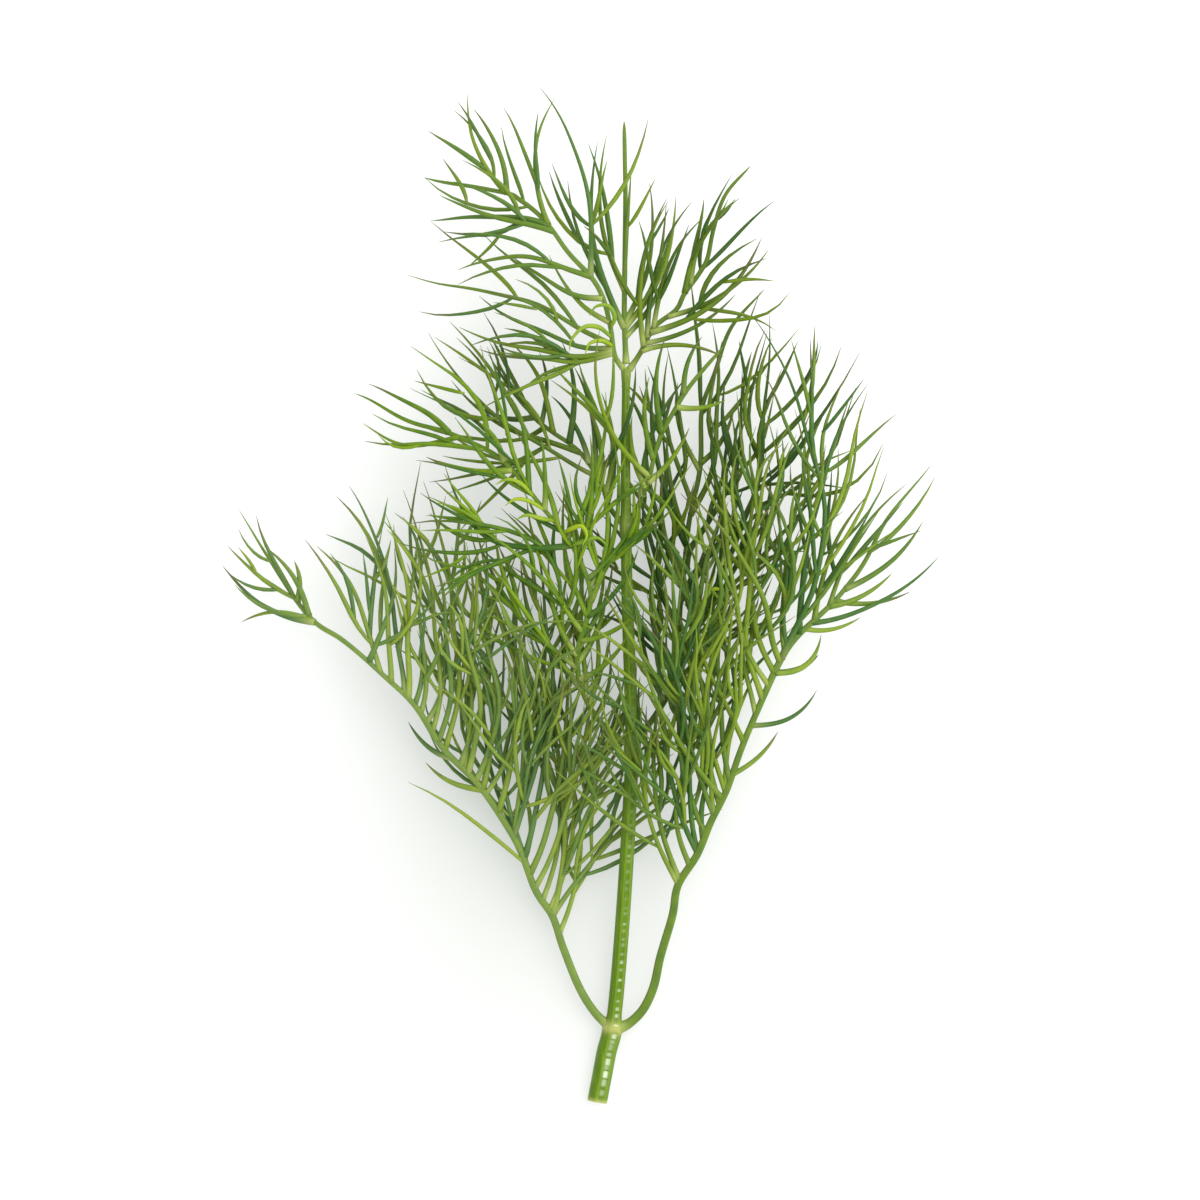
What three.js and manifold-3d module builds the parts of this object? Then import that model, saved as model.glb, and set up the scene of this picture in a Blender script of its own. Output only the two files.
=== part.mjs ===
// A cut sprig of dill, lying flat: one stem with four pairs of feathery fronds and a feathery top.
// Millimetres. +Z is up, the stem runs along +Y and its cut end is at -Y. The sprig lies on z = 0.
// Each route below is a list of [x, y, z] points on the middle line of a stalk.

import * as THREE from 'three';
import { mergeVertices } from 'three/addons/utils/BufferGeometryUtils.js';
import Module from 'manifold-3d';

// Radii of the stem, to its flats: below the first joint, just above it, at the top, and a joint's swelling
const STUB_RADIUS = 1.75;
const STEM_RADIUS = 1.3;
const STEM_TOP_RADIUS = 0.65;
const JOINT_SWELLING = 0.2;
const JOINT_SPREAD = 0.16;
const STEM_SIDES = 8;
const STEM_STEPS = 48;

// Radii of the finer strands, to their corners. A strand's first ring is drawn in to a share of this.
const RIB_TIP_RADIUS = 0.4;
const SPRAY_RADIUS = 0.48;
const BLADE_RADIUS = 0.42;
const ROOT_SHARE = 0.35;
const RIB_SIDES = 5;
const STRAND_SIDES = 3;

// Rings: a rib has three for every two route points, a spray the root of a share of its length in mm,
// and a blade two, crowded towards its root where it curls
const RIB_RINGS = 1.5;
const SPRAY_RINGS = 0.7;
const BLADE_STEPS = 2;
const BLADE_CROWDING = 1.6;

// Room between a frond and the stem, and between two strands that pass each other
const JOINT_GAP = 0.3;
const CLEARANCE = 0.2;

// Nothing grows higher than this above the surface
const CEILING = 22;

// A spray bows sideways and arches upwards by these shares of its length
const SPRAY_BOW = 0.09;
const SPRAY_ARCH = 0.05;

// Blades grow in pairs along a spray, up to the terminal blade at its end. Each is as long as a share
// of what is still ahead of it, and the last ones stop up to BLADE_UNDERSHOOT short of the spray's tip.
// The two of a pair stand up to BLADE_STAGGER apart.
const BLADE_REACH = 0.9;
const BLADE_EXTRA = 3;
const BLADE_MIN = 13;
const BLADE_MAX = 24;
const BLADE_TERMINAL = 16;
const BLADE_UNDERSHOOT = 4;
const BLADE_LEAST = 5;
const BLADE_STAGGER = 3;
const BARE_SHARE = 0.16;
const BARE_MIN = 2.5;
const BARE_MAX = 5.5;

// The pitch of a spray's blades is a share of its frond's, less near the frond's root than near its tip,
// and along a spray it grows from NEAR_PITCH to FAR_PITCH of that
const ROOT_PITCH = 0.75;
const TIP_PITCH = 2.8;
const NEAR_PITCH = 0.8;
const FAR_PITCH = 1.3;

// Pitches and lengths are drawn between these shares of what they would be
const PITCH_SHARES = [0.85, 1.15];
const LENGTH_SHARES = [0.75, 1.15];

// A blade's angles in radians: how far it leans out, the curl at its root, and its roll round the spray
const BLADE_LEAN = 0.2;
const BLADE_CURL = 0.36;
const LEAN_SWING = 0.17;
const CURL_SWING = 0.3;
const ROLL_SWING = 0.55;

// The middle of the sprig's outline in the routes' own numbers, which is where the origin goes
const MIDDLE = [0, -0.12];

// The stem's route. It rests on the surface from the cut end to the first joint and arches up after it.
const STEM_ROUTE = [
  [2.7, -84.7, 1.75], [3.5, -80.5, 1.75], [4.3, -76.3, 1.75], [5.3, -72.2, 1.9], [6.2, -63.8, 2.6],
  [7.2, -50.5, 4.6], [8, -37.2, 7], [8.5, -24.7, 9.2], [8.2, -13.8, 10.8], [7.7, -0.5, 12.3],
  [7.5, 11.7, 13.2], [7.4, 24.5, 13.6], [7.5, 37.8, 13.4],
];
// The points of STEM_ROUTE that are joints, where fronds leave the stem
const JOINTS = [3, 7, 10, 12];

// Each frond: its seed, the radius of its stalk, the route point where blades begin on the rib itself,
// the pitch of its pairs of blades, its rib's route, and its sprays as
// [route point, tip x, tip y, tip z, bow in mm or nothing].
const FRONDS = {
  lower_left: {
    seed: 12,
    radius: 0.85,
    bare: 12.5,
    pitch: 5.4,
    rib: [
      [5, -72.2, 2], [2.4, -69.8, 2.1], [-0.3, -65.5, 2.3], [-3, -58.8, 2.8], [-4.8, -53.5, 3.2],
      [-7.8, -48.8, 3.8], [-11.3, -40, 4.8], [-16.2, -32, 6], [-22.7, -25.2, 7.5], [-28.3, -17.5, 9],
      [-33.5, -12.7, 9.5], [-39.2, -7.8, 9], [-43.8, -4.2, 7.6], [-49.3, 2.8, 4.8], [-57.3, 14.5, 0],
    ],
    sprays: [
      [4, 19.8, -28.8, 1.2, 2], [4, -9, -9.7, 3], [4.2, -2.7, -20.5, 2.6], [4.6, -6, -20, 3],
      [5, 1.5, -7.2, 3, -3], [5, -12.7, -2.2, 4, 3], [5.6, -9, -3, 5], [6, -16.8, 6.2, 5],
      [6.5, -14.5, -4, 7], [7, -21.5, 8.7, 6], [7.5, -24, 0, 5], [8, -27, 19.5, 6],
      [8.4, -30.3, 17.8, 7], [9.3, -39.3, 18.2, 6, -3], [10.3, -31.2, 8.3, 8], [10, -44, 8.7, 6],
      [9.7, -36, 9.5, 9], [12, -60.2, 5.3, 2], [12, -57, -4.2, 3, -2], [12.2, -57.8, 2.2, 4],
      [12.2, -52.8, 8.7, 7], [12.6, -47.8, 6.2, 8], [7, -25.8, -27.7, 4], [7.8, -28.7, -21.3, 4],
      [3.4, -1.5, -30, 1.8], [5.3, -4, -8, 2.5], [8.6, -23, -4, 6], [7.6, -18.5, 12, 4],
      [6, -8.5, 12, 3], [9, -27.5, 2, 6],
    ],
  },
  lower_right: {
    seed: 29,
    radius: 0.95,
    bare: 16,
    pitch: 5.4,
    rib: [
      [6, -72.4, 2], [8.2, -71.4, 2.1], [10.5, -69, 2.3], [12.2, -65.2, 2.8], [13.3, -60.2, 3.5],
      [15.3, -53.2, 5], [16.2, -48, 6], [19.5, -42.7, 7.2], [22, -37.3, 8.2], [24.2, -32.7, 9],
      [26.3, -26.3, 10], [29.7, -17.5, 10.5], [33.8, -10.2, 10.5], [37, -5.8, 10], [41.7, -1, 9],
      [44.2, 1.8, 8], [47.5, 6.2, 6.4], [51.7, 13.7, 3.8], [58.8, 22.3, 0],
    ],
    sprays: [
      [6, 10.5, -15.5, 13.5, 3], [6.1, 14.5, -10.5, 11], [7, 13.2, -7.2, 12.5, 2.5],
      [7, 20.2, -0.5, 12, 2], [8.2, 17.5, 8, 13.5], [9, 22.3, 6.2, 11], [9.3, 27, 2, 12],
      [9.5, 32.7, -23, 8], [10.2, 19.8, 16.2, 11], [10.5, 38.7, -15.5, 7, -2], [11, 34.8, 29.5, 12],
      [11.3, 25, 24, 12], [11.9, 18.7, 16.7, 15, -2], [11.6, 30, 24, 9], [12, 28, 46.5, 9, -9],
      [12.2, 44.2, 36.7, 7], [13, 48.3, 36, 7], [13.5, 47.5, 17.7, 7], [14, 53.8, 19.2, 6],
      [15, 57.3, 12.8, 4], [14, 52.3, 4.3, 5], [13.4, 60.2, 7, 2], [14.3, 55.5, 1.2, 3],
      [13.2, 47.2, -3, 6], [11.6, 40.3, -6.2, 6, -2], [11.6, 39.5, -9.5, 7], [8.6, 22.5, -8, 10],
      [7.6, 17.5, -14, 10], [10.7, 30.5, 4, 11], [12.4, 36, 12, 10],
    ],
  },
  second_left: {
    seed: 31,
    radius: 0.6,
    bare: 8,
    pitch: 5.4,
    rib: [
      [8.2, -24.7, 9.3], [4.8, -22.3, 9.3], [1.5, -18.8, 9.5], [-0.3, -14.7, 10], [-0.2, -9.7, 10.8],
      [1.2, -3, 12], [1.3, 2, 13], [-1.7, 9, 14.5], [-6, 14.5, 15.5], [-12, 22, 15.5],
      [-19.7, 26.3, 13.5], [-28, 29.8, 10.5], [-37.3, 33.3, 7],
    ],
    sprays: [
      [5.5, 3.2, 21.2, 15], [4.5, 5.2, 6.2, 11], [4, -5.5, 6.2, 9], [3, -6.8, -0.5, 8],
      [3.6, -17.5, 11, 7.5], [3.4, -1.5, 6, 7.5], [4.6, -9.5, 16, 11], [5, -3, 18, 11],
      [7, -22.3, 22, 11, 7], [7.4, -16.2, 20.2, 13], [8, -6.8, 26.2, 18], [8.8, -25.2, 23.7, 11],
      [9, -17.2, 28.7, 16], [10, -35.8, 28.3, 8], [10.2, -35.2, 35, 9], [7.2, -3.5, 23.7, 17],
      [2.6, 5, -6, 8], [6, 4.8, 14, 12], [4.2, 3.5, 8, 9], [7.6, -10.5, 27, 14], [6.8, 1.5, 27, 15],
      [3.8, 4.2, 2, 8], [8.4, -12, 33, 13], [2.5, -4, 2, 6], [2.2, 2, -2, 7], [2.8, -10, 6, 6],
    ],
  },
  second_right: {
    seed: 41,
    radius: 0.6,
    bare: 7.5,
    pitch: 4,
    rib: [
      [8.8, -24.6, 9], [12.3, -19.7, 7.5], [14.5, -15.5, 6], [15.8, -10.2, 5], [17, -0.5, 4.5],
      [17.7, 7.3, 4.5], [18.5, 15.8, 5], [20, 26.8, 5.5], [20.8, 32.3, 5.5], [22.5, 37.3, 5],
      [25.3, 45.3, 4], [30.8, 51.7, 2.5],
    ],
    sprays: [
      [3, 31.5, 46.7, 6, -5], [2.5, 12.3, 6.2, 4], [3.5, 13.2, 12.8, 5], [5, 27.3, 38.2, 4],
      [5.4, 14.5, 27.8, 6], [2.2, 25.7, 6.2, 3], [1.6, 10.5, -2, 4], [2.7, 20.5, 12, 3], [4, 24, 22, 3],
      [4.4, 13.5, 22, 7], [5.8, 22, 46, 6], [3.2, 29, 16, 2.5], [6.5, 16.5, 36.2, 4],
      [6.6, 26, 32.8, 3], [4.6, 11, 30, 5], [5.2, 12.5, 38, 5], [3.6, 10.5, 18, 4], [6, 14.8, 41, 4],
    ],
  },
  third_left: {
    seed: 53,
    radius: 0.5,
    bare: 5,
    pitch: 7,
    rib: [
      [7.2, 11.8, 13.2], [4.7, 15, 12.9], [3.3, 19.2, 11.6], [0, 24, 9.8], [-4.2, 26.8, 8.4],
      [-7.3, 29.8, 7], [-10.2, 35.3, 5.6], [-12, 38.7, 4.6], [-14.5, 43.3, 4],
    ],
    sprays: [
      [2.2, -25.3, 44.3, 4, 3], [3, -21.3, 36.5, 5], [4, -11.7, 42.7, 7], [3.4, -3.2, 42, 8],
      [4.6, -6.8, 40.8, 6], [2, 0.7, 32.8, 9], [5, -17.7, 32.8, 4], [2.6, -4.5, 33, 7],
      [1.5, 3.5, 34, 8], [2.4, -1, 38, 6], [1.2, 4.2, 29, 9], [4.4, -13.5, 27, 4],
    ],
  },
  third_right: {
    seed: 61,
    radius: 0.5,
    bare: 4,
    pitch: 7,
    rib: [
      [7.9, 11.8, 13.2], [9.8, 15.8, 14.2], [11.5, 19.8, 15.5], [13, 25.7, 16], [15.5, 31.2, 16],
      [18.2, 35.3, 15], [23.5, 41.2, 13],
    ],
    sprays: [
      [2, 3.2, 43.7, 21, 4], [4, 23.5, 32.2, 15], [3.2, 14, 42.8, 17], [2.5, 11.2, 36.2, 17],
      [4.5, 19.8, 42.8, 14], [1.8, 18.2, 27.8, 14],
    ],
  },
  fourth_left: {
    seed: 71,
    radius: 0.5,
    bare: 6.5,
    pitch: 16,
    rib: [
      [7.2, 37.6, 13.5], [5.6, 40, 14.4], [4.9, 44.5, 15], [3.7, 49.5, 15.2], [1.8, 53.3, 15],
      [-1.7, 57.5, 14], [-4.8, 61.3, 12.5], [-9.5, 65.5, 10], [-12, 67.3, 8.5], [-18.5, 69, 6],
      [-26, 70.2, 4],
    ],
    sprays: [
      [4, -7, 84.8, 12, -3], [4, -20.8, 54.7, 9, -2], [6, -24.7, 63.2, 6, -1], [5.8, -23.2, 67.3, 9, 1],
      [6, -4.5, 82.8, 9, 3.2], [8, -19, 84.2, 5, 2], [8, -18, 81.5, 6, -1.2], [1.4, -29.8, 53.5, 5, -2],
      [1.2, -20.5, 45.3, 8], [1.1, -14.8, 40.8, 11, 1.5], [3, -11.7, 56.8, 9], [2.2, -5, 56.3, 11],
      [1.3, -17.5, 50.5, 7], [1.2, -17, 41.5, 9],
    ],
  },
  fourth_right: {
    seed: 83,
    radius: 0.5,
    bare: 5,
    pitch: 15,
    rib: [
      [8, 37.6, 13.3], [9.8, 40.4, 13.4], [12, 44.6, 13.2], [15.5, 47.5, 12.5], [17, 50.3, 12],
      [19.7, 53.8, 11], [21.3, 56.3, 10.5], [22.7, 61.3, 9], [24.7, 67.3, 7], [28.7, 72, 5],
    ],
    sprays: [
      [1.6, 18.8, 65.7, 10], [2, 20.7, 62.7, 13], [4, 27, 66, 8], [4.4, 26, 65.5, 11],
      [2.6, 31.2, 57.3, 8], [1.4, 25.3, 49.7, 12], [1.8, 30.7, 59.3, 10, -3], [1.3, 14.3, 65.3, 14],
      [1.1, 23.5, 39.5, 11, 1.5],
    ],
  },
  top_frond: {
    seed: 97,
    radius: 0.55,
    bare: 1.2,
    pitch: 16,
    rib: [
      [7.5, 38.6, 13.4], [7.2, 46.2, 13], [7.3, 55.8, 11.8], [7.4, 66.2, 9.8], [7.3, 73.7, 7.8],
      [7.2, 79.5, 6],
    ],
    sprays: [
      [0.8, 16.2, 67.3, 10], [0.9, 11.5, 69.3, 6], [0.6, 14.5, 58.2, 8], [0.8, 2.7, 75.7, 11],
      [1.5, 4.3, 77, 8],
    ],
  },
};

const COLOURS = { stem: 0x5f8a2c, frond: 0x4f7a2d };
const ROUGHNESS = 0.5;

const manifold = await Module();
manifold.setup();

const vector = ([x, y, z]) => new THREE.Vector3(x, y, z);
const route = (points) => new THREE.CatmullRomCurve3(points.map(vector), false, 'catmullrom', 0.5);
const { clamp, lerp, mapLinear, smoothstep } = THREE.MathUtils;

// Repeatable draws: each state is a multiple of the one before it, modulo 2^31 - 1
const DRAW_MODULUS = 2147483647;
const DRAW_MULTIPLIER = 16807;
const SEED_MULTIPLIER = 7919;
class Draws {
  constructor(seed) {
    this.state = (seed * SEED_MULTIPLIER) % DRAW_MODULUS;
  }

  next() {
    this.state = (this.state * DRAW_MULTIPLIER) % DRAW_MODULUS;
    return this.state / DRAW_MODULUS;
  }

  between(low, high) {
    return low + (high - low) * this.next();
  }
}

// Length of a curve as the sum of its chords
const CHORDS = 12;
function lengthOf(curve) {
  const points = curve.getPoints(CHORDS);
  return points.slice(1).reduce((sum, point, i) => sum + point.distanceTo(points[i]), 0);
}

// At t on a curve: the way along it, the way across it that is level with the ground, and the way up
function framesAt(curve, t) {
  const along = curve.getTangent(t);
  const side = new THREE.Vector3(-along.y, along.x, 0).normalize();
  return { along, side, up: along.clone().cross(side) };
}

function solidOf(geometry) {
  geometry.deleteAttribute('normal');
  geometry.deleteAttribute('uv');
  const closed = mergeVertices(geometry);
  return new manifold.Manifold(new manifold.Mesh({
    numProp: 3,
    vertProperties: new Float32Array(closed.attributes.position.array),
    triVerts: new Uint32Array(closed.index.array),
  }));
}

// Carries the points of a plain upright cylinder or cone to a curve: height becomes the place along
// the curve, the angle stays, and radiusAt gives the radius. A crowding over 1 draws the rings
// towards the root. Nothing goes below the surface that the sprig lies on.
const ON_AXIS = 1e-6;
function alongCurve(plain, curve, sides, radiusAt, crowding = 1) {
  const place = plain.getAttribute('position');
  for (let i = 0; i < place.count; i += 1) {
    const t = clamp(place.getY(i) + 0.5, 0, 1) ** crowding;
    const onAxis = Math.hypot(place.getX(i), place.getZ(i)) < ON_AXIS;
    const angle = onAxis ? 0 : Math.atan2(place.getX(i), place.getZ(i)) + Math.PI / sides;
    const radius = onAxis ? 0 : radiusAt(t);
    const { side, up } = framesAt(curve, t);
    const point = curve.getPoint(t)
      .addScaledVector(side, radius * Math.sin(angle))
      .addScaledVector(up, -radius * Math.cos(angle));
    place.setXYZ(i, point.x, point.y, Math.max(0, point.z));
  }
  return solidOf(plain);
}

// A stalk with a flat end, and a strand that ends in a point
function stalkSolid(curve, sides, steps, radiusAt) {
  return alongCurve(new THREE.CylinderGeometry(1, 1, 1, sides, steps), curve, sides, radiusAt);
}

function strandSolid(curve, sides, steps, radiusAt, crowding) {
  return alongCurve(new THREE.ConeGeometry(1, 1, sides, steps), curve, sides, radiusAt, crowding);
}

// A strand's radius, drawn in at its first ring so that it starts inside what it grows from
function rooted(radius) {
  return (t) => (t > 0 ? radius : ROOT_SHARE * radius);
}

// The stem narrows at the first joint and on towards the top, and swells a little at the other joints.
// STUB_END is where it narrows, in route points after the first joint.
const STUB_END = [-0.1, 0.35];
const stemCurve = route(STEM_ROUTE);
const stemIntervals = STEM_ROUTE.length - 1;
function stemRadius(t) {
  const at = t * stemIntervals;
  const aboveFirst = mapLinear(at, JOINTS[0], stemIntervals, 0, 1);
  const taper = lerp(STEM_RADIUS, STEM_TOP_RADIUS, aboveFirst ** 2);
  const nearness = (joint) => Math.exp(-(((at - joint) / JOINT_SPREAD) ** 2));
  const swelling = JOINTS.slice(1).reduce((sum, joint) => sum + nearness(joint), 0);
  const aboveStub = smoothstep(at - JOINTS[0], ...STUB_END);
  return lerp(STUB_RADIUS, taper + JOINT_SWELLING * swelling, aboveStub);
}

// The stem has one flat side underneath. Made thicker, it is what the fronds' roots are cut with.
function stemSolid(extra = 0) {
  const toCorner = 1 / Math.cos(Math.PI / STEM_SIDES);
  return stalkSolid(stemCurve, STEM_SIDES, STEM_STEPS, (t) => toCorner * (stemRadius(t) + extra));
}

// A spray: a shallow bow from the rib to its tip, bulging away from the rib, or by a stated bow
function sprayCurve(rib, intervals, [at, x, y, z, bow]) {
  const start = rib.getPoint(at / intervals);
  const heading = rib.getTangent(at / intervals);
  const tip = new THREE.Vector3(x, y, z);
  const chord = tip.clone().sub(start);
  const outward = Math.sign(heading.x * chord.y - heading.y * chord.x);
  const bulge = bow ?? outward * SPRAY_BOW * chord.length();
  const left = new THREE.Vector3(-chord.y, chord.x, 0).normalize();
  const middle = start.clone().add(tip).multiplyScalar(0.5).addScaledVector(left, 2 * bulge);
  middle.z += SPRAY_ARCH * chord.length();
  return new THREE.QuadraticBezierCurve3(start, middle, tip);
}

// A blade leaves its spray at t, leaning out to the side that turn gives, and curls back to the
// spray's own way
function bladeCurve(spray, t, length, turn, draws) {
  const { along, side, up } = framesAt(spray, t);
  const roll = draws.between(-ROLL_SWING, ROLL_SWING);
  const lean = BLADE_LEAN + draws.between(-LEAN_SWING, LEAN_SWING);
  const rootLean = lean + BLADE_CURL + draws.between(-CURL_SWING, CURL_SWING);
  const out = side.multiplyScalar(turn * Math.cos(roll)).addScaledVector(up, Math.sin(roll));
  const reach = (angle, distance) => spray.getPoint(t)
    .addScaledVector(along, distance * Math.cos(angle))
    .addScaledVector(out, distance * Math.sin(angle));
  const middle = reach(rootLean, length / 2);
  return new THREE.QuadraticBezierCurve3(spray.getPoint(t), middle, reach(lean, length));
}

// The pairs are further apart towards the spray's tip
function bladesAlong(spray, first, pitch, draws) {
  const length = lengthOf(spray);
  const blades = [];
  let place = first;
  while (place < length - BLADE_TERMINAL) {
    for (const turn of [1, -1]) {
      const at = place + draws.between(0, BLADE_STAGGER);
      const share = clamp(BLADE_REACH * (length - at) + BLADE_EXTRA, BLADE_MIN, BLADE_MAX);
      const wanted = share * draws.between(...LENGTH_SHARES);
      const room = length - at - draws.between(0, BLADE_UNDERSHOOT);
      const grownTo = Math.max(BLADE_LEAST, Math.min(wanted, room));
      blades.push(bladeCurve(spray, at / length, grownTo, turn, draws));
    }
    place += pitch * draws.between(...PITCH_SHARES) * lerp(NEAR_PITCH, FAR_PITCH, place / length);
  }
  return blades;
}

// Everything grown so far, as points about 1 mm apart with a radius, so that the next strand can
// keep clear of it. SPACING_SQUARED allows for what lies between two such points.
const grown = [];
const SPACING_SQUARED = 0.5;

function samplesOf(curve, radius, owner) {
  return curve.getPoints(Math.ceil(lengthOf(curve)) + 1).map((point) => ({ point, radius, owner }));
}

// Near its root, for a length called rooting, a strand may touch its own frond but no other
function isClear(samples, rooting) {
  const isBetween = ({ point, radius }) => point.z >= radius && point.z <= CEILING - radius;
  return samples.every(isBetween) && samples.every(({ point, radius, owner }) => grown.every((other) => {
    if (other.owner === owner && point.distanceTo(samples[0].point) < rooting) return true;
    const apart = radius + other.radius + CLEARANCE;
    return point.distanceToSquared(other.point) > apart * apart + SPACING_SQUARED;
  }));
}

// Lifts or lowers a strand's tip until the strand is clear. A strand that finds no room isn't grown.
const LIFTS = [0, 1.2, -1.2, 2.4, -2.4, 3.6, -3.6, 4.8, -4.8];
function growClear(curve, radius, owner, rooting) {
  for (const lift of LIFTS) {
    const lifted = curve.clone();
    lifted.v1.z += lift / 2;
    lifted.v2.z += lift;
    const samples = samplesOf(lifted, radius, owner);
    if (isClear(samples, rooting)) {
      grown.push(...samples);
      return [lifted];
    }
  }
  return [];
}

// The stem and every rib come first, then every spray, then every blade
function growRibs() {
  const points = stemCurve.getPoints(Math.ceil(lengthOf(stemCurve)));
  const radiusOf = (i) => stemRadius(i / (points.length - 1));
  grown.push(...points.map((point, i) => ({ point, radius: radiusOf(i), owner: 'stem' })));
  for (const [name, frond] of Object.entries(FRONDS)) {
    frond.curve = route(frond.rib);
    frond.intervals = frond.rib.length - 1;
    grown.push(...samplesOf(frond.curve, frond.radius, name));
  }
}

const SPRAY_ROOTING = 14;
function growSprays() {
  for (const [name, frond] of Object.entries(FRONDS)) {
    frond.grownSprays = frond.sprays.flatMap((spray) => {
      const pitch = frond.pitch * lerp(ROOT_PITCH, TIP_PITCH, (spray[0] / frond.intervals) ** 2);
      const curve = sprayCurve(frond.curve, frond.intervals, spray);
      return growClear(curve, SPRAY_RADIUS, name, SPRAY_ROOTING).map((clear) => ({ curve: clear, pitch }));
    });
  }
}

// The rib past its bare part, as a curve of its own
function featheredEnd(frond) {
  const end = new THREE.Curve();
  const from = frond.bare / frond.intervals;
  end.getPoint = (t, target) => frond.curve.getPoint(lerp(from, 1, t), target);
  return end;
}

// Three of every four blades are solid here
const BLADE_ROOTING = 3.5;
const isKept = (_, i) => i % 4 !== 1;
function growBlades() {
  for (const [name, frond] of Object.entries(FRONDS)) {
    const draws = new Draws(frond.seed);
    const blades = bladesAlong(featheredEnd(frond), 0, frond.pitch * TIP_PITCH, draws);
    for (const { curve, pitch } of frond.grownSprays) {
      const bare = clamp(BARE_SHARE * lengthOf(curve), BARE_MIN, BARE_MAX);
      blades.push(...bladesAlong(curve, bare, pitch, draws));
    }
    const kept = blades.filter(isKept);
    frond.grownBlades = kept.flatMap((curve) => growClear(curve, BLADE_RADIUS, name, BLADE_ROOTING));
  }
}

// A rib narrows from its stalk's radius to its tip's
function ribSolid(frond) {
  const radiusAt = (t) => lerp(frond.radius, RIB_TIP_RADIUS, t);
  return strandSolid(frond.curve, RIB_SIDES, Math.round(RIB_RINGS * frond.intervals), radiusAt);
}

// A long spray needs more rings, or its flats stray from its bow and the blades' roots miss them
function spraySolid(curve) {
  const steps = Math.ceil(Math.sqrt(SPRAY_RINGS * lengthOf(curve)));
  return strandSolid(curve, STRAND_SIDES, steps, rooted(SPRAY_RADIUS));
}

function bladeSolid(curve) {
  return strandSolid(curve, STRAND_SIDES, BLADE_STEPS, rooted(BLADE_RADIUS), BLADE_CROWDING);
}

// A frond's rib, sprays and blades as one solid, cut clear of the stem. Where the cut leaves a scrap
// on the stem's far side, only the largest body stays.
const SMOOTHING = 0.02;
function frondSolid(frond) {
  const strands = [
    ribSolid(frond),
    ...frond.grownSprays.map(({ curve }) => spraySolid(curve)),
    ...frond.grownBlades.map(bladeSolid),
  ];
  const joined = manifold.Manifold.union(strands).subtract(stemSolid(JOINT_GAP));
  const bodies = joined.simplify(SMOOTHING).decompose();
  return bodies.reduce((largest, body) => (body.volume() > largest.volume() ? body : largest));
}

function meshOf(name, solid, colour) {
  const { vertProperties, triVerts } = solid.getMesh();
  const geometry = new THREE.BufferGeometry();
  geometry.setAttribute('position', new THREE.BufferAttribute(vertProperties, 3));
  geometry.setIndex(new THREE.BufferAttribute(triVerts, 1));
  geometry.computeVertexNormals();
  const material = new THREE.MeshStandardMaterial({ color: colour, roughness: ROUGHNESS, metalness: 0 });
  const mesh = new THREE.Mesh(geometry, material);
  mesh.name = name;
  return mesh;
}

growRibs();
growSprays();
growBlades();

const sprig = new THREE.Group();
sprig.name = 'dill_sprig';
sprig.position.set(-MIDDLE[0], -MIDDLE[1], 0);
sprig.add(meshOf('stem', stemSolid(), COLOURS.stem));
for (const [name, frond] of Object.entries(FRONDS)) {
  sprig.add(meshOf(name, frondSolid(frond), COLOURS.frond));
}

export default sprig;
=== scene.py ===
# A cut sprig of dill lying flat on a pale surface, seen from straight above.
# Blender's lengths are metres. Routes and sizes of the plant are in millimetres, in the numbers that
# the part's own source uses, and `placed` turns them into the frame's metres.

import math

import bpy
import numpy as np
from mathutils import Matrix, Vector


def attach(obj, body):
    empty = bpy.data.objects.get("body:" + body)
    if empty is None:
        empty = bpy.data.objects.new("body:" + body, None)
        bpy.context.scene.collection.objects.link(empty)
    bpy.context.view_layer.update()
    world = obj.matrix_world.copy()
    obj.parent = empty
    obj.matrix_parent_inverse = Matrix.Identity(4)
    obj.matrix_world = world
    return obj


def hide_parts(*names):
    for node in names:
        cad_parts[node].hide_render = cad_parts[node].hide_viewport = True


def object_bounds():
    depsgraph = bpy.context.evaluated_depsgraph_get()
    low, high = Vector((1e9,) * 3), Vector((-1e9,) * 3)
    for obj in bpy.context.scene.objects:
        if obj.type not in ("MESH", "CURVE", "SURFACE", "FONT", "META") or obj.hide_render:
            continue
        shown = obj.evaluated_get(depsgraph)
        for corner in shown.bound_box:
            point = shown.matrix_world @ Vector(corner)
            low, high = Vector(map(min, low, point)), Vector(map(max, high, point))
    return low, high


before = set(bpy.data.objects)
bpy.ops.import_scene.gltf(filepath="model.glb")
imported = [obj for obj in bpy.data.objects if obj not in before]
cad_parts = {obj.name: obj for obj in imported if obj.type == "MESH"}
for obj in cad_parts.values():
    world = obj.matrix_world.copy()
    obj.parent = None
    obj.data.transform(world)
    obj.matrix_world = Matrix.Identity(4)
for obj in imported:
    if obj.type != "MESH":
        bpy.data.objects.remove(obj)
cad_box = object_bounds()


# Camera
# The photograph looks straight down and takes in 200 mm each way. The camera stands far enough off
# that the raised fronds look hardly larger than those on the surface.
MM = 0.001
PHOTO_PIXELS = 1200
PIXELS_PER_MM = 6
# The middle of the sprig's outline, which is the frame's origin, and the photograph's middle
ORIGIN_MM = (0, -0.12, 0)
PHOTO_MIDDLE_MM = (3.17, -0.5, 0)
CAMERA_HEIGHT = 0.9
FOCUS_HEIGHT = 8 * MM


def placed(points):
    """Millimetres in the routes' numbers to metres in the frame."""
    return (np.asarray(points) - ORIGIN_MM) * MM


camera_data = bpy.data.cameras.new("camera")
camera_data.sensor_width = 36
view_width = PHOTO_PIXELS / PIXELS_PER_MM * MM
camera_data.lens = camera_data.sensor_width * (CAMERA_HEIGHT - FOCUS_HEIGHT) / view_width
camera = bpy.data.objects.new("camera", camera_data)
camera.location = (*placed(PHOTO_MIDDLE_MM)[:2], CAMERA_HEIGHT)
bpy.context.scene.collection.objects.link(camera)
bpy.context.scene.camera = camera


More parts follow.
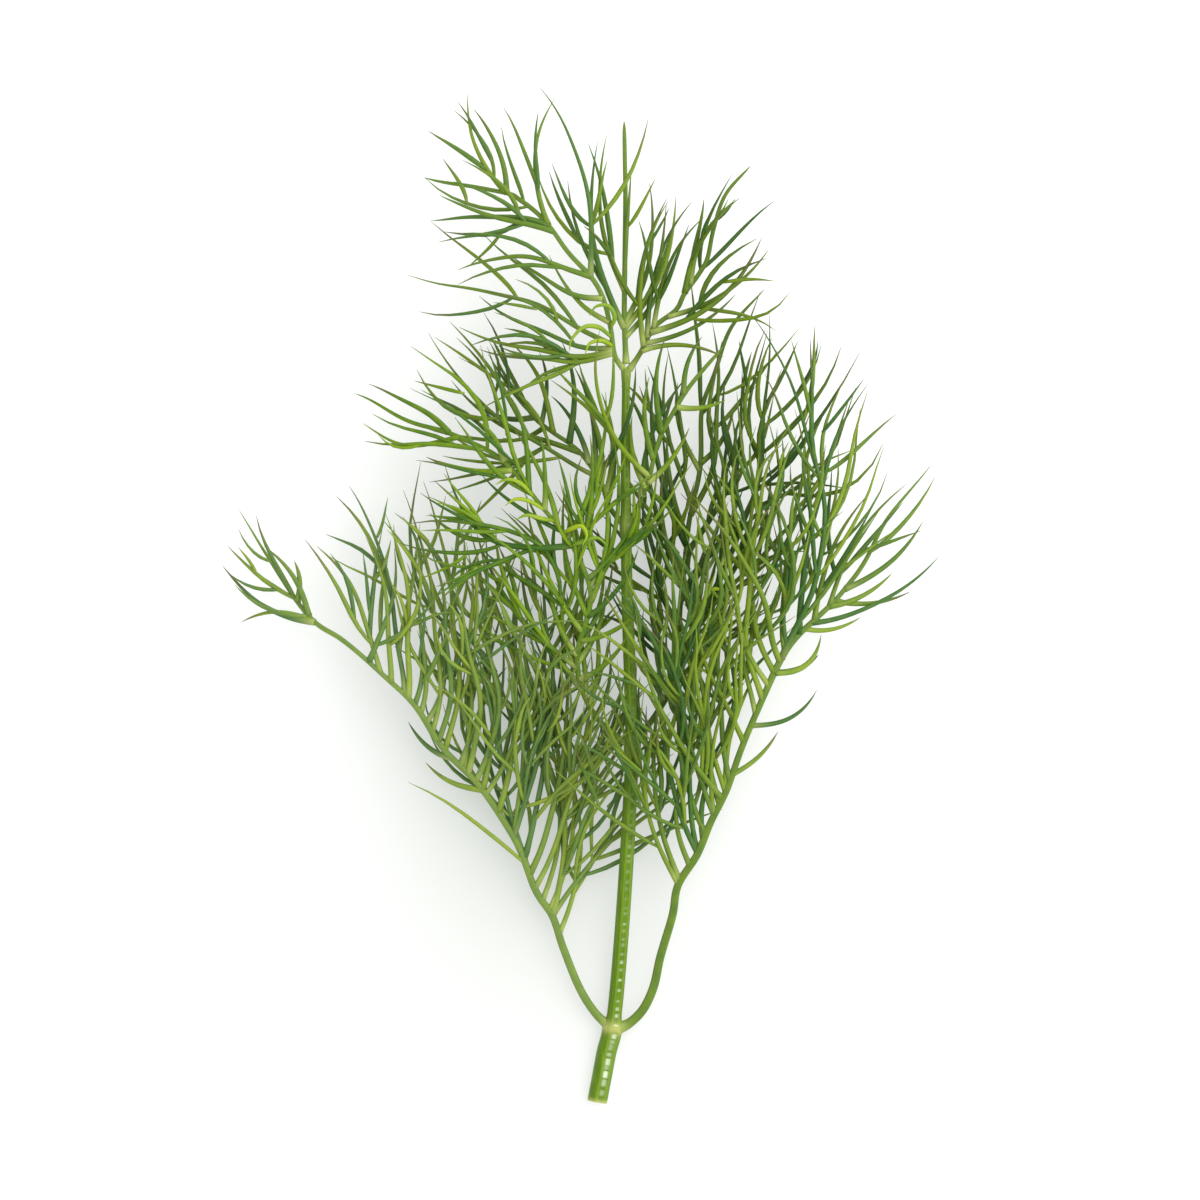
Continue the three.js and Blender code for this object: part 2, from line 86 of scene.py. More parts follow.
# Surface and light
# A plain white table under a broad soft lamp from the upper right and an even pale sky, so that soft
# shadows fall towards the lower left. The table glows a little, painted light that lifts its shadows, and
# carries a painted soft grey shadow under the sprig's left half.
TABLE_SIZE = 2.4
LAMP_DISTANCE = 0.7
LAMP_SIZE = 1.2
LAMP_TOWARDS = (0.58, 0.3, 0.76)
LAMP_ENERGY = 6.5
LAMP_COLOUR = (1, 0.98, 0.95)
SKY_STRENGTH = 0.85
SKY_COLOUR = (1, 1, 0.99, 1)
# The table's glow is painted light: it lifts the shadows on it without a lamp
TABLE_GLOW = 0.67
TABLE_MOTTLE_SCALE = 3
TABLE_TONES = ((0.38, 0.39, 0.385, 1), (0.41, 0.415, 0.41, 1))
WHITE = (1, 1, 1, 1)
# A painted soft grey shadow on the table, under the sprig's left half: its middle and reach in mm, its
# colour
PAINTED_SHADOW_MIDDLE_MM = (-7, -18, 0)
PAINTED_SHADOW_REACH_MM = (62, 106, 50)
PAINTED_SHADOW_COLOUR = (0.655, 0.68, 0.648, 1)


def new_material(name, roughness, specular):
    """A new material with its nodes, its links and its shader, which is given its gloss."""
    material = bpy.data.materials.new(name)
    material.use_nodes = True
    nodes, links = material.node_tree.nodes, material.node_tree.links
    shader = nodes["Principled BSDF"]
    shader.inputs["Roughness"].default_value = roughness
    shader.inputs["Specular IOR Level"].default_value = specular
    return material, nodes, links, shader


def noise_on(nodes, links, vector, scale, detail):
    """A noise read at a vector, from 0 to 1, for a height or for a place on a ramp."""
    noise = nodes.new("ShaderNodeTexNoise")
    noise.inputs["Scale"].default_value = scale
    noise.inputs["Detail"].default_value = detail
    links.new(vector, noise.inputs["Vector"])
    return noise.outputs["Fac"]


def ramp_of(nodes, links, share, colours, places=(0, 1)):
    """A colour between two, by where a share lies between two places."""
    ramp = nodes.new("ShaderNodeValToRGB")
    for element, colour, place in zip(ramp.color_ramp.elements, colours, places):
        element.color = colour
        element.position = place
    links.new(share, ramp.inputs["Fac"])
    return ramp


def table_material():
    """White, hardly glossy, faintly uneven, with a painted soft grey shadow under the sprig's left half,
    and a glow, painted light, that keeps the shadows light. The painted shadow dims the glow too."""
    material, nodes, links, shader = new_material("white_table", 0.8, 0.1)
    place = nodes.new("ShaderNodeTexCoord")
    mottle = noise_on(nodes, links, place.outputs["Object"], TABLE_MOTTLE_SCALE, 2)
    tone = ramp_of(nodes, links, mottle, TABLE_TONES)
    # Painted shadow: a soft grey patch, darkest at its middle, that darkens the table's colour and its glow
    from_painted_shadow = nodes.new("ShaderNodeMapping")
    reach = np.array(PAINTED_SHADOW_REACH_MM) * MM
    from_painted_shadow.inputs["Scale"].default_value = 1 / reach
    from_painted_shadow.inputs["Location"].default_value = -placed(PAINTED_SHADOW_MIDDLE_MM) / reach
    nearness = nodes.new("ShaderNodeTexGradient")
    nearness.gradient_type = "SPHERICAL"
    links.new(place.outputs["Object"], from_painted_shadow.inputs["Vector"])
    links.new(from_painted_shadow.outputs["Vector"], nearness.inputs["Vector"])
    shade = ramp_of(nodes, links, nearness.outputs["Fac"], (WHITE, PAINTED_SHADOW_COLOUR))
    shade.color_ramp.interpolation = "EASE"
    shaded = nodes.new("ShaderNodeMix")
    shaded.data_type = "RGBA"
    shaded.blend_type = "MULTIPLY"
    shaded.inputs["Factor"].default_value = 1
    links.new(tone.outputs["Color"], shaded.inputs["A"])
    links.new(shade.outputs["Color"], shaded.inputs["B"])
    links.new(shaded.outputs["Result"], shader.inputs["Base Color"])
    # The glow, painted light, is dimmed under the painted shadow
    links.new(shade.outputs["Color"], shader.inputs["Emission Color"])
    shader.inputs["Emission Strength"].default_value = TABLE_GLOW
    return material


table_mesh = bpy.data.meshes.new("table")
half = TABLE_SIZE / 2
table_corners = [(-half, -half, 0), (half, -half, 0), (half, half, 0), (-half, half, 0)]
table_mesh.from_pydata(table_corners, [], [(0, 1, 2, 3)])
table_mesh.materials.append(table_material())
table = bpy.data.objects.new("table", table_mesh)
bpy.context.scene.collection.objects.link(table)

lamp_data = bpy.data.lights.new("lamp", "AREA")
lamp_data.shape = "DISK"
lamp_data.size = LAMP_SIZE
lamp_data.energy = LAMP_ENERGY
lamp_data.color = LAMP_COLOUR
lamp = bpy.data.objects.new("lamp", lamp_data)
lamp.location = [LAMP_DISTANCE * towards for towards in LAMP_TOWARDS]
lamp.rotation_euler = (
    math.acos(LAMP_TOWARDS[2] / math.hypot(*LAMP_TOWARDS)),
    0,
    math.atan2(LAMP_TOWARDS[1], LAMP_TOWARDS[0]) + math.pi / 2,
)
bpy.context.scene.collection.objects.link(lamp)

world = bpy.data.worlds.new("sky")
world.use_nodes = True
background = world.node_tree.nodes["Background"]
background.inputs["Color"].default_value = SKY_COLOUR
background.inputs["Strength"].default_value = SKY_STRENGTH
bpy.context.scene.world = world
bpy.context.scene.view_settings.view_transform = "Standard"


# Stem
# One juicy ribbed stalk, thick below the first joint, with a channel along its upper side that small
# wrinkles cross, their glints painted on in white. It swells and turns pale at each joint, and its end is
# cut.
STUB_RADIUS = 1.75
STEM_RADIUS = 1.3
STEM_TOP_RADIUS = 0.65
# Joints: how much and how far the stem swells there, where the stub gives way to it, in route
# points, and how far the paleness reaches
JOINT_SWELLING = 0.2
JOINT_SPREAD = 0.16
STEP_BEFORE = 0.1
STEP_LENGTH = 0.45
JOINT_PALE_SPREAD = 0.17
STEM_ROUTE = [
    (2.7, -84.7, 1.75), (3.5, -80.5, 1.75), (4.3, -76.3, 1.75), (5.3, -72.2, 1.9), (6.2, -63.8, 2.6),
    (7.2, -50.5, 4.6), (8, -37.2, 7), (8.5, -24.7, 9.2), (8.2, -13.8, 10.8), (7.7, -0.5, 12.3),
    (7.5, 11.7, 13.2), (7.4, 24.5, 13.6), (7.5, 37.8, 13.4),
]
STEM_JOINTS = [3, 7, 10, 12]
STEM_RINGS = 760
STEM_SIDES = 56
# Round the stem, in degrees from its left side over the top: the two ridges and the channel between
RIDGES = (81, 135)
RIDGE_WIDTH = 5.5
CHANNEL = 108
CHANNEL_WIDTH = 15
FINE_RIBS = 15
# Heights and depths as shares of the radius
RIDGE_HEIGHT = 0.045
CHANNEL_DEPTH = 0.13
FINE_HEIGHT = 0.012
FLECK_HEIGHT = 0.035
JOINT_HEIGHT = 0.05
JOINT_SMOOTHING = 0.8
HIGHEST = 1.05
# Wrinkles across the channel, whose glints are painted white, in mm along the stem from its cut end
FLECK_SEED = 5
FLECK_COUNT = 90
FLECK_PITCHES = (0.9, 1.9)
FLECK_WIDTHS = (0.22, 0.5)
FLECK_STRENGTHS = (0.25, 1)
STUB_LENGTH = 12
STUB_FLECK_SHARE = 1.25
STEM_FLECK_SHARE = 0.7
FLECK_FADE = 60
FLECK_FULL = 0.95
FLECK_LEAST = 0.12
# How pale the joints and the cut end are: distances in mm and shares there
PALE_DISTANCES = [0, 30, 60, 130]
PALE_SHARES = [1, 0.5, 0.25, 0.25]
CUT_PALENESS = 0.9
CUT_PALE_REACH = 0.5


def route_at(points, t):
    """Places on a smooth route through given points, for t from 0 to 1.

    Between two points runs the cubic whose speed at each is half the step from the point before it to
    the point after it. At the ends the last step is carried on.
    """
    points = np.asarray(points, float)
    padded = np.vstack([2 * points[0] - points[1], points, 2 * points[-1] - points[-2]])
    place = np.clip(np.asarray(t, float), 0, 1) * (len(points) - 1)
    i = np.minimum(place.astype(int), len(points) - 2)
    w = (place - i)[..., None]
    before, start, end, after = (padded[i + k] for k in range(4))
    speed, next_speed = (end - before) / 2, (after - start) / 2
    bend = 3 * (end - start) - 2 * speed - next_speed
    return start + speed * w + bend * w**2 + (2 * (start - end) + speed + next_speed) * w**3


def unit(vectors):
    """Vectors divided by their lengths."""
    return vectors / np.maximum(np.linalg.norm(vectors, axis=-1, keepdims=True), 1e-12)


def frames_along(points):
    """Left and up at each ring of a path: level across it, and square to both."""
    along = unit(np.gradient(points, axis=-2))
    level = np.stack([-along[..., 1], along[..., 0], 0 * along[..., 0]], axis=-1)
    left = unit(level)
    return left, np.cross(along, left)


def bell(x, width):
    """exp(-(x / width)^2): one at zero, and near zero past two widths."""
    return np.exp(-((x / width) ** 2))


def ring_quads(rings, sides):
    """Quads of a grid of rings whose points run round, by the order ring, side."""
    ring = np.arange(rings - 1)[:, None] * sides
    side = np.arange(sides)[None, :]
    after = (side + 1) % sides
    quads = np.stack([ring + side, ring + sides + side, ring + sides + after, ring + after], axis=-1)
    return quads.reshape(-1, 4)


def end_fans(rings, sides):
    """Triangles that close a tube's two ends at two points that come after its rings."""
    side = np.arange(sides)
    after = (side + 1) % sides
    count, last = rings * sides, (rings - 1) * sides
    root_fan = np.stack([np.full(sides, count), side, after], axis=-1)
    tip_fan = np.stack([np.full(sides, count + 1), last + after, last + side], axis=-1)
    return np.concatenate([root_fan, tip_fan])


def rings_about(centres, radius, degrees, flatness=1):
    """Rings round paths: centre + radius (cos(angle) left + flatness sin(angle) up), and flat where
    they would sink into the surface."""
    left, up = frames_along(centres)
    angle = np.radians(degrees)[:, None]
    around = np.cos(angle) * left[..., None, :] + flatness * np.sin(angle) * up[..., None, :]
    points = centres[..., None, :] + radius[..., None] * around
    points[..., 2] = np.maximum(points[..., 2], 0)
    return points


def distances_along(points):
    """How far along a path each of its points lies."""
    return np.concatenate([[0], np.cumsum(np.linalg.norm(np.diff(points, axis=0), axis=1))])


def new_piece(name, points, quads, triangles, marks, material):
    """A mesh object from arrays, with its points' marks as a colour attribute of four channels."""
    mesh = bpy.data.meshes.new(name)
    mesh.vertices.add(len(points))
    mesh.vertices.foreach_set("co", placed(points).astype(np.float32).ravel())
    corners = np.concatenate([quads.ravel(), triangles.ravel()])
    totals = np.concatenate([np.full(len(quads), 4), np.full(len(triangles), 3)])
    mesh.loops.add(len(corners))
    mesh.loops.foreach_set("vertex_index", corners.astype(np.int32))
    mesh.polygons.add(len(totals))
    mesh.polygons.foreach_set("loop_start", (np.cumsum(totals) - totals).astype(np.int32))
    mesh.polygons.foreach_set("loop_total", totals.astype(np.int32))
    mesh.polygons.foreach_set("use_smooth", np.ones(len(totals), bool))
    attribute = mesh.attributes.new("marks", "FLOAT_COLOR", "POINT")
    attribute.data.foreach_set("color", marks.astype(np.float32).ravel())
    mesh.materials.append(material)
    mesh.update(calc_edges=True)
    mesh.validate()
    piece = bpy.data.objects.new(name, mesh)
    bpy.context.scene.collection.objects.link(piece)
    return piece


def stem_radius(t):
    """Radius to the flats: the stub's below the first joint, a taper above it, swollen at the joints."""
    at = np.asarray(t) * (len(STEM_ROUTE) - 1)
    first, last = STEM_JOINTS[0], len(STEM_ROUTE) - 1
    taper = STEM_RADIUS + ((at - first) / (last - first)) ** 2 * (STEM_TOP_RADIUS - STEM_RADIUS)
    swelling = sum(bell(at - joint, JOINT_SPREAD) for joint in STEM_JOINTS[1:])
    step = np.clip((at - first + STEP_BEFORE) / STEP_LENGTH, 0, 1)
    above = step * step * (3 - 2 * step)
    return STUB_RADIUS + above * (taper + JOINT_SWELLING * swelling - STUB_RADIUS)


def fleck_strength(along):
    """Wrinkles down the channel, with painted white glints: blocks exp(-(x / width)^6) at uneven distances,
    longer on the stub, shorter and fainter up the stem."""
    random = np.random.default_rng(FLECK_SEED)
    places = np.cumsum(random.uniform(*FLECK_PITCHES, FLECK_COUNT))
    widths = random.uniform(*FLECK_WIDTHS, FLECK_COUNT)
    widths = widths * np.where(places < STUB_LENGTH, STUB_FLECK_SHARE, STEM_FLECK_SHARE)
    strengths = random.uniform(*FLECK_STRENGTHS, FLECK_COUNT)
    strengths = strengths * np.clip(FLECK_FULL - places / FLECK_FADE, FLECK_LEAST, 1)
    return np.max(strengths * np.exp(-(((along[:, None] - places) / widths) ** 6)), axis=1)


def stem_surface():
    """Rings along the route. Each is a circle with two raised ridges and a channel between them, fine
    ribs all round, and a flat underside where it lies on the surface. The cut end is dished."""
    t = np.linspace(0, 1, STEM_RINGS)
    centres = route_at(STEM_ROUTE, t)
    distance = distances_along(centres)
    degrees = np.arange(STEM_SIDES) * 360 / STEM_SIDES
    every_ring, every_side = np.ones((STEM_RINGS, 1)), np.ones(STEM_SIDES)
    ridge = sum(bell(degrees - at, RIDGE_WIDTH) for at in RIDGES)[None, :]
    channel = bell(degrees - CHANNEL, CHANNEL_WIDTH)[None, :]
    across = np.exp(-(((degrees - CHANNEL) / CHANNEL_WIDTH) ** 4))[None, :]
    # The wrinkles in the channel: raised a little, and marked for painted white glints
    glinting_flecks = fleck_strength(distance)[:, None] * across
    from_joints = [t * (len(STEM_ROUTE) - 1) - joint for joint in STEM_JOINTS]
    joints = sum(bell(away, JOINT_PALE_SPREAD) for away in from_joints)[:, None]
    fine = FINE_HEIGHT * np.cos(np.radians(degrees) * FINE_RIBS)[None, :]
    furrowed = (RIDGE_HEIGHT * ridge - CHANNEL_DEPTH * channel) * (1 - JOINT_SMOOTHING * joints)
    shape = (1 + fine + furrowed + FLECK_HEIGHT * glinting_flecks + JOINT_HEIGHT * joints) / HIGHEST
    points = rings_about(centres, stem_radius(t)[:, None] * shape, degrees)
    joint_paleness = np.interp(distance, PALE_DISTANCES, PALE_SHARES)[:, None]
    cut_paleness = CUT_PALENESS * bell(distance, CUT_PALE_REACH)[:, None]
    pale = np.clip(joints * joint_paleness + cut_paleness, 0, 1) * every_side
    # Painted sheen: a bluish-green tint on the sides, where the skin turns away, in place of the sky's
    # reflection there
    side_sheen = np.abs(np.cos(np.radians(degrees)))[None, :] ** 5 * every_ring
    marks = np.stack([ridge * every_ring, glinting_flecks, pale, side_sheen], axis=-1)
    return points, marks


# The dish of the cut end: each smaller ring's share of the end's width, and of the dish's depth
DISH_SCALES = np.array([0.86, 0.5, 0.02])
DISH_DEPTHS = np.array([0.25, 1, 1.1])
CUT_DEPTH = 0.3
TOP_DEPTH = -0.1
# Their marks: ridge, painted glint (on the cut end, paler pith), paleness and painted side sheen
CUT_MARKS = (0, 0.55, 1, 0)
TOP_MARKS = (0, 0, 1, 0)


def dished_end(ring, inward, depth):
    """Smaller rings inside a tube's last ring, each sunk inward by its share of a depth."""
    middle = ring.mean(axis=0)
    sunk = DISH_DEPTHS * depth
    return middle + DISH_SCALES[:, None, None] * (ring - middle) + sunk[:, None, None] * inward


def marks_of(nodes, links):
    """The four marks that a piece's points carry, as sockets."""
    marks = nodes.new("ShaderNodeAttribute")
    marks.attribute_name = "marks"
    split = nodes.new("ShaderNodeSeparateColor")
    links.new(marks.outputs["Color"], split.inputs["Color"])
    return split.outputs["Red"], split.outputs["Green"], split.outputs["Blue"], marks.outputs["Alpha"]


def scaled(nodes, links, amount, strength):
    """An amount times a strength, kept between 0 and 1."""
    product = nodes.new("ShaderNodeMath")
    product.operation = "MULTIPLY"
    product.use_clamp = True
    product.inputs[1].default_value = strength
    links.new(amount, product.inputs[0])
    return product.outputs["Value"]


def laid_over(nodes, links, below, colour, amount):
    """A colour laid over another by an amount."""
    mix = nodes.new("ShaderNodeMix")
    mix.data_type = "RGBA"
    mix.inputs["B"].default_value = colour
    links.new(below, mix.inputs["A"])
    links.new(amount, mix.inputs["Factor"])
    return mix.outputs["Result"]


def make_translucent(shader, weight, radius, depth_mm):
    """Lets light into the skin, with a reach for red, green and blue as shares of a depth."""
    shader.inputs["Subsurface Weight"].default_value = weight
    shader.inputs["Subsurface Radius"].default_value = radius
    shader.inputs["Subsurface Scale"].default_value = depth_mm * MM


STREAK_SCALES = (2600, 160, 2600)
STEM_GREENS = ((0.072, 0.163, 0.004, 1), (0.138, 0.243, 0.006, 1))
STEM_GREEN_PLACES = (0.3, 0.72)
# What lies over the green, each with its strength
# Painted sheen at the stem's sides
SIDE_SHEEN_COLOUR, SIDE_SHEEN_STRENGTH = (0.1, 0.21, 0.03, 1), 0.5
RIDGE_COLOUR, RIDGE_STRENGTH = (0.2, 0.3, 0.008, 1), 0.7
PALE_COLOUR, PALE_STRENGTH = (0.5, 0.5, 0.16, 1), 0.85
# Painted highlights: white glints on the wrinkles; on the cut end the same colour pales the pith
GLINT_AND_PITH_COLOUR, GLINT_AND_PITH_STRENGTH = (0.78, 0.9, 0.66, 1), 0.95


def stem_material():
    """Glossy green skin: yellow-green ridges, painted white glints on the wrinkles, pale joints and cut, a
    painted blue-green sheen at the sides, and fine streaks along the length."""
    material, nodes, links, shader = new_material("stem_skin", 0.4, 0.22)
    ridges, glinting_flecks, paleness, side_sheen = marks_of(nodes, links)
    place = nodes.new("ShaderNodeTexCoord")
    stretch = nodes.new("ShaderNodeMapping")
    stretch.inputs["Scale"].default_value = STREAK_SCALES
    links.new(place.outputs["Object"], stretch.inputs["Vector"])
    streaks = noise_on(nodes, links, stretch.outputs["Vector"], 1, 3)
    colour = ramp_of(nodes, links, streaks, STEM_GREENS, STEM_GREEN_PLACES).outputs["Color"]
    layers = (
        (side_sheen, SIDE_SHEEN_COLOUR, SIDE_SHEEN_STRENGTH),
        (ridges, RIDGE_COLOUR, RIDGE_STRENGTH),
        (paleness, PALE_COLOUR, PALE_STRENGTH),
        (glinting_flecks, GLINT_AND_PITH_COLOUR, GLINT_AND_PITH_STRENGTH),
    )
    for amount, layer_colour, strength in layers:
        colour = laid_over(nodes, links, colour, layer_colour, scaled(nodes, links, amount, strength))
    links.new(colour, shader.inputs["Base Color"])
    bump = nodes.new("ShaderNodeBump")
    bump.inputs["Strength"].default_value = 0.25
    bump.inputs["Distance"].default_value = 0.05 * MM
    links.new(streaks, bump.inputs["Height"])
    links.new(bump.outputs["Normal"], shader.inputs["Normal"])
    make_translucent(shader, 0.12, (0.6, 1, 0.3), 0.8)
    return material


def build_stem():
    """The stem's rings with a dished end before and after them, each closed by a middle point."""
    points, marks = stem_surface()
    inward = unit(points[1].mean(axis=0) - points[0].mean(axis=0))
    cut = dished_end(points[0], inward, CUT_DEPTH)
    top = dished_end(points[-1], inward, TOP_DEPTH)
    rings = np.concatenate([cut[::-1], points, top])
    dish_shape = (len(DISH_SCALES), STEM_SIDES, 1)
    ring_marks = np.concatenate([np.tile(CUT_MARKS, dish_shape), marks, np.tile(TOP_MARKS, dish_shape)])
    all_points = np.concatenate([rings.reshape(-1, 3), [rings[0].mean(axis=0), rings[-1].mean(axis=0)]])
    all_marks = np.concatenate([ring_marks.reshape(-1, 4), [CUT_MARKS, TOP_MARKS]])
    quads, fans = ring_quads(len(rings), STEM_SIDES), end_fans(len(rings), STEM_SIDES)
    return new_piece("stem_skin", all_points, quads, fans, all_marks, stem_material())


stem = build_stem()
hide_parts("stem")
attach(stem, "root")


# Fronds
# Nine feathery leaves. Each has a stalk that runs on as a rib, side sprays, and thread-like blades
# that fork once or twice. They are soft green skin over pith, and each grew as one piece.
RIB_TIP_RADIUS = 0.4
SPRAY_RADIUS = 0.48
BLADE_RADIUS = 0.42
CLEARANCE = 0.2
CEILING = 22
SPRAY_BOW = 0.09
SPRAY_ARCH = 0.05
BLADE_REACH = 0.9
BLADE_EXTRA = 3
BLADE_TERMINAL = 16
BLADE_MIN = 13
BLADE_MAX = 24
BLADE_UNDERSHOOT = 4
BLADE_LEAST = 5
BLADE_STAGGER = 3
BARE_SHARE = 0.16
BARE_MIN = 2.5
BARE_MAX = 5.5
ROOT_PITCH = 0.75
TIP_PITCH = 2.8
NEAR_PITCH = 0.8
FAR_PITCH = 1.3
PITCH_SHARES = (0.85, 1.15)
LENGTH_SHARES = (0.75, 1.15)
BLADE_LEAN = 0.2
BLADE_CURL = 0.36
LEAN_SWING = 0.17
CURL_SWING = 0.3
ROLL_SWING = 0.55
LIFTS = (0, 1.2, -1.2, 2.4, -2.4, 3.6, -3.6, 4.8, -4.8)
SPRAY_ROOTING = 14
BLADE_ROOTING = 3.5
SPACING_SQUARED = 0.5

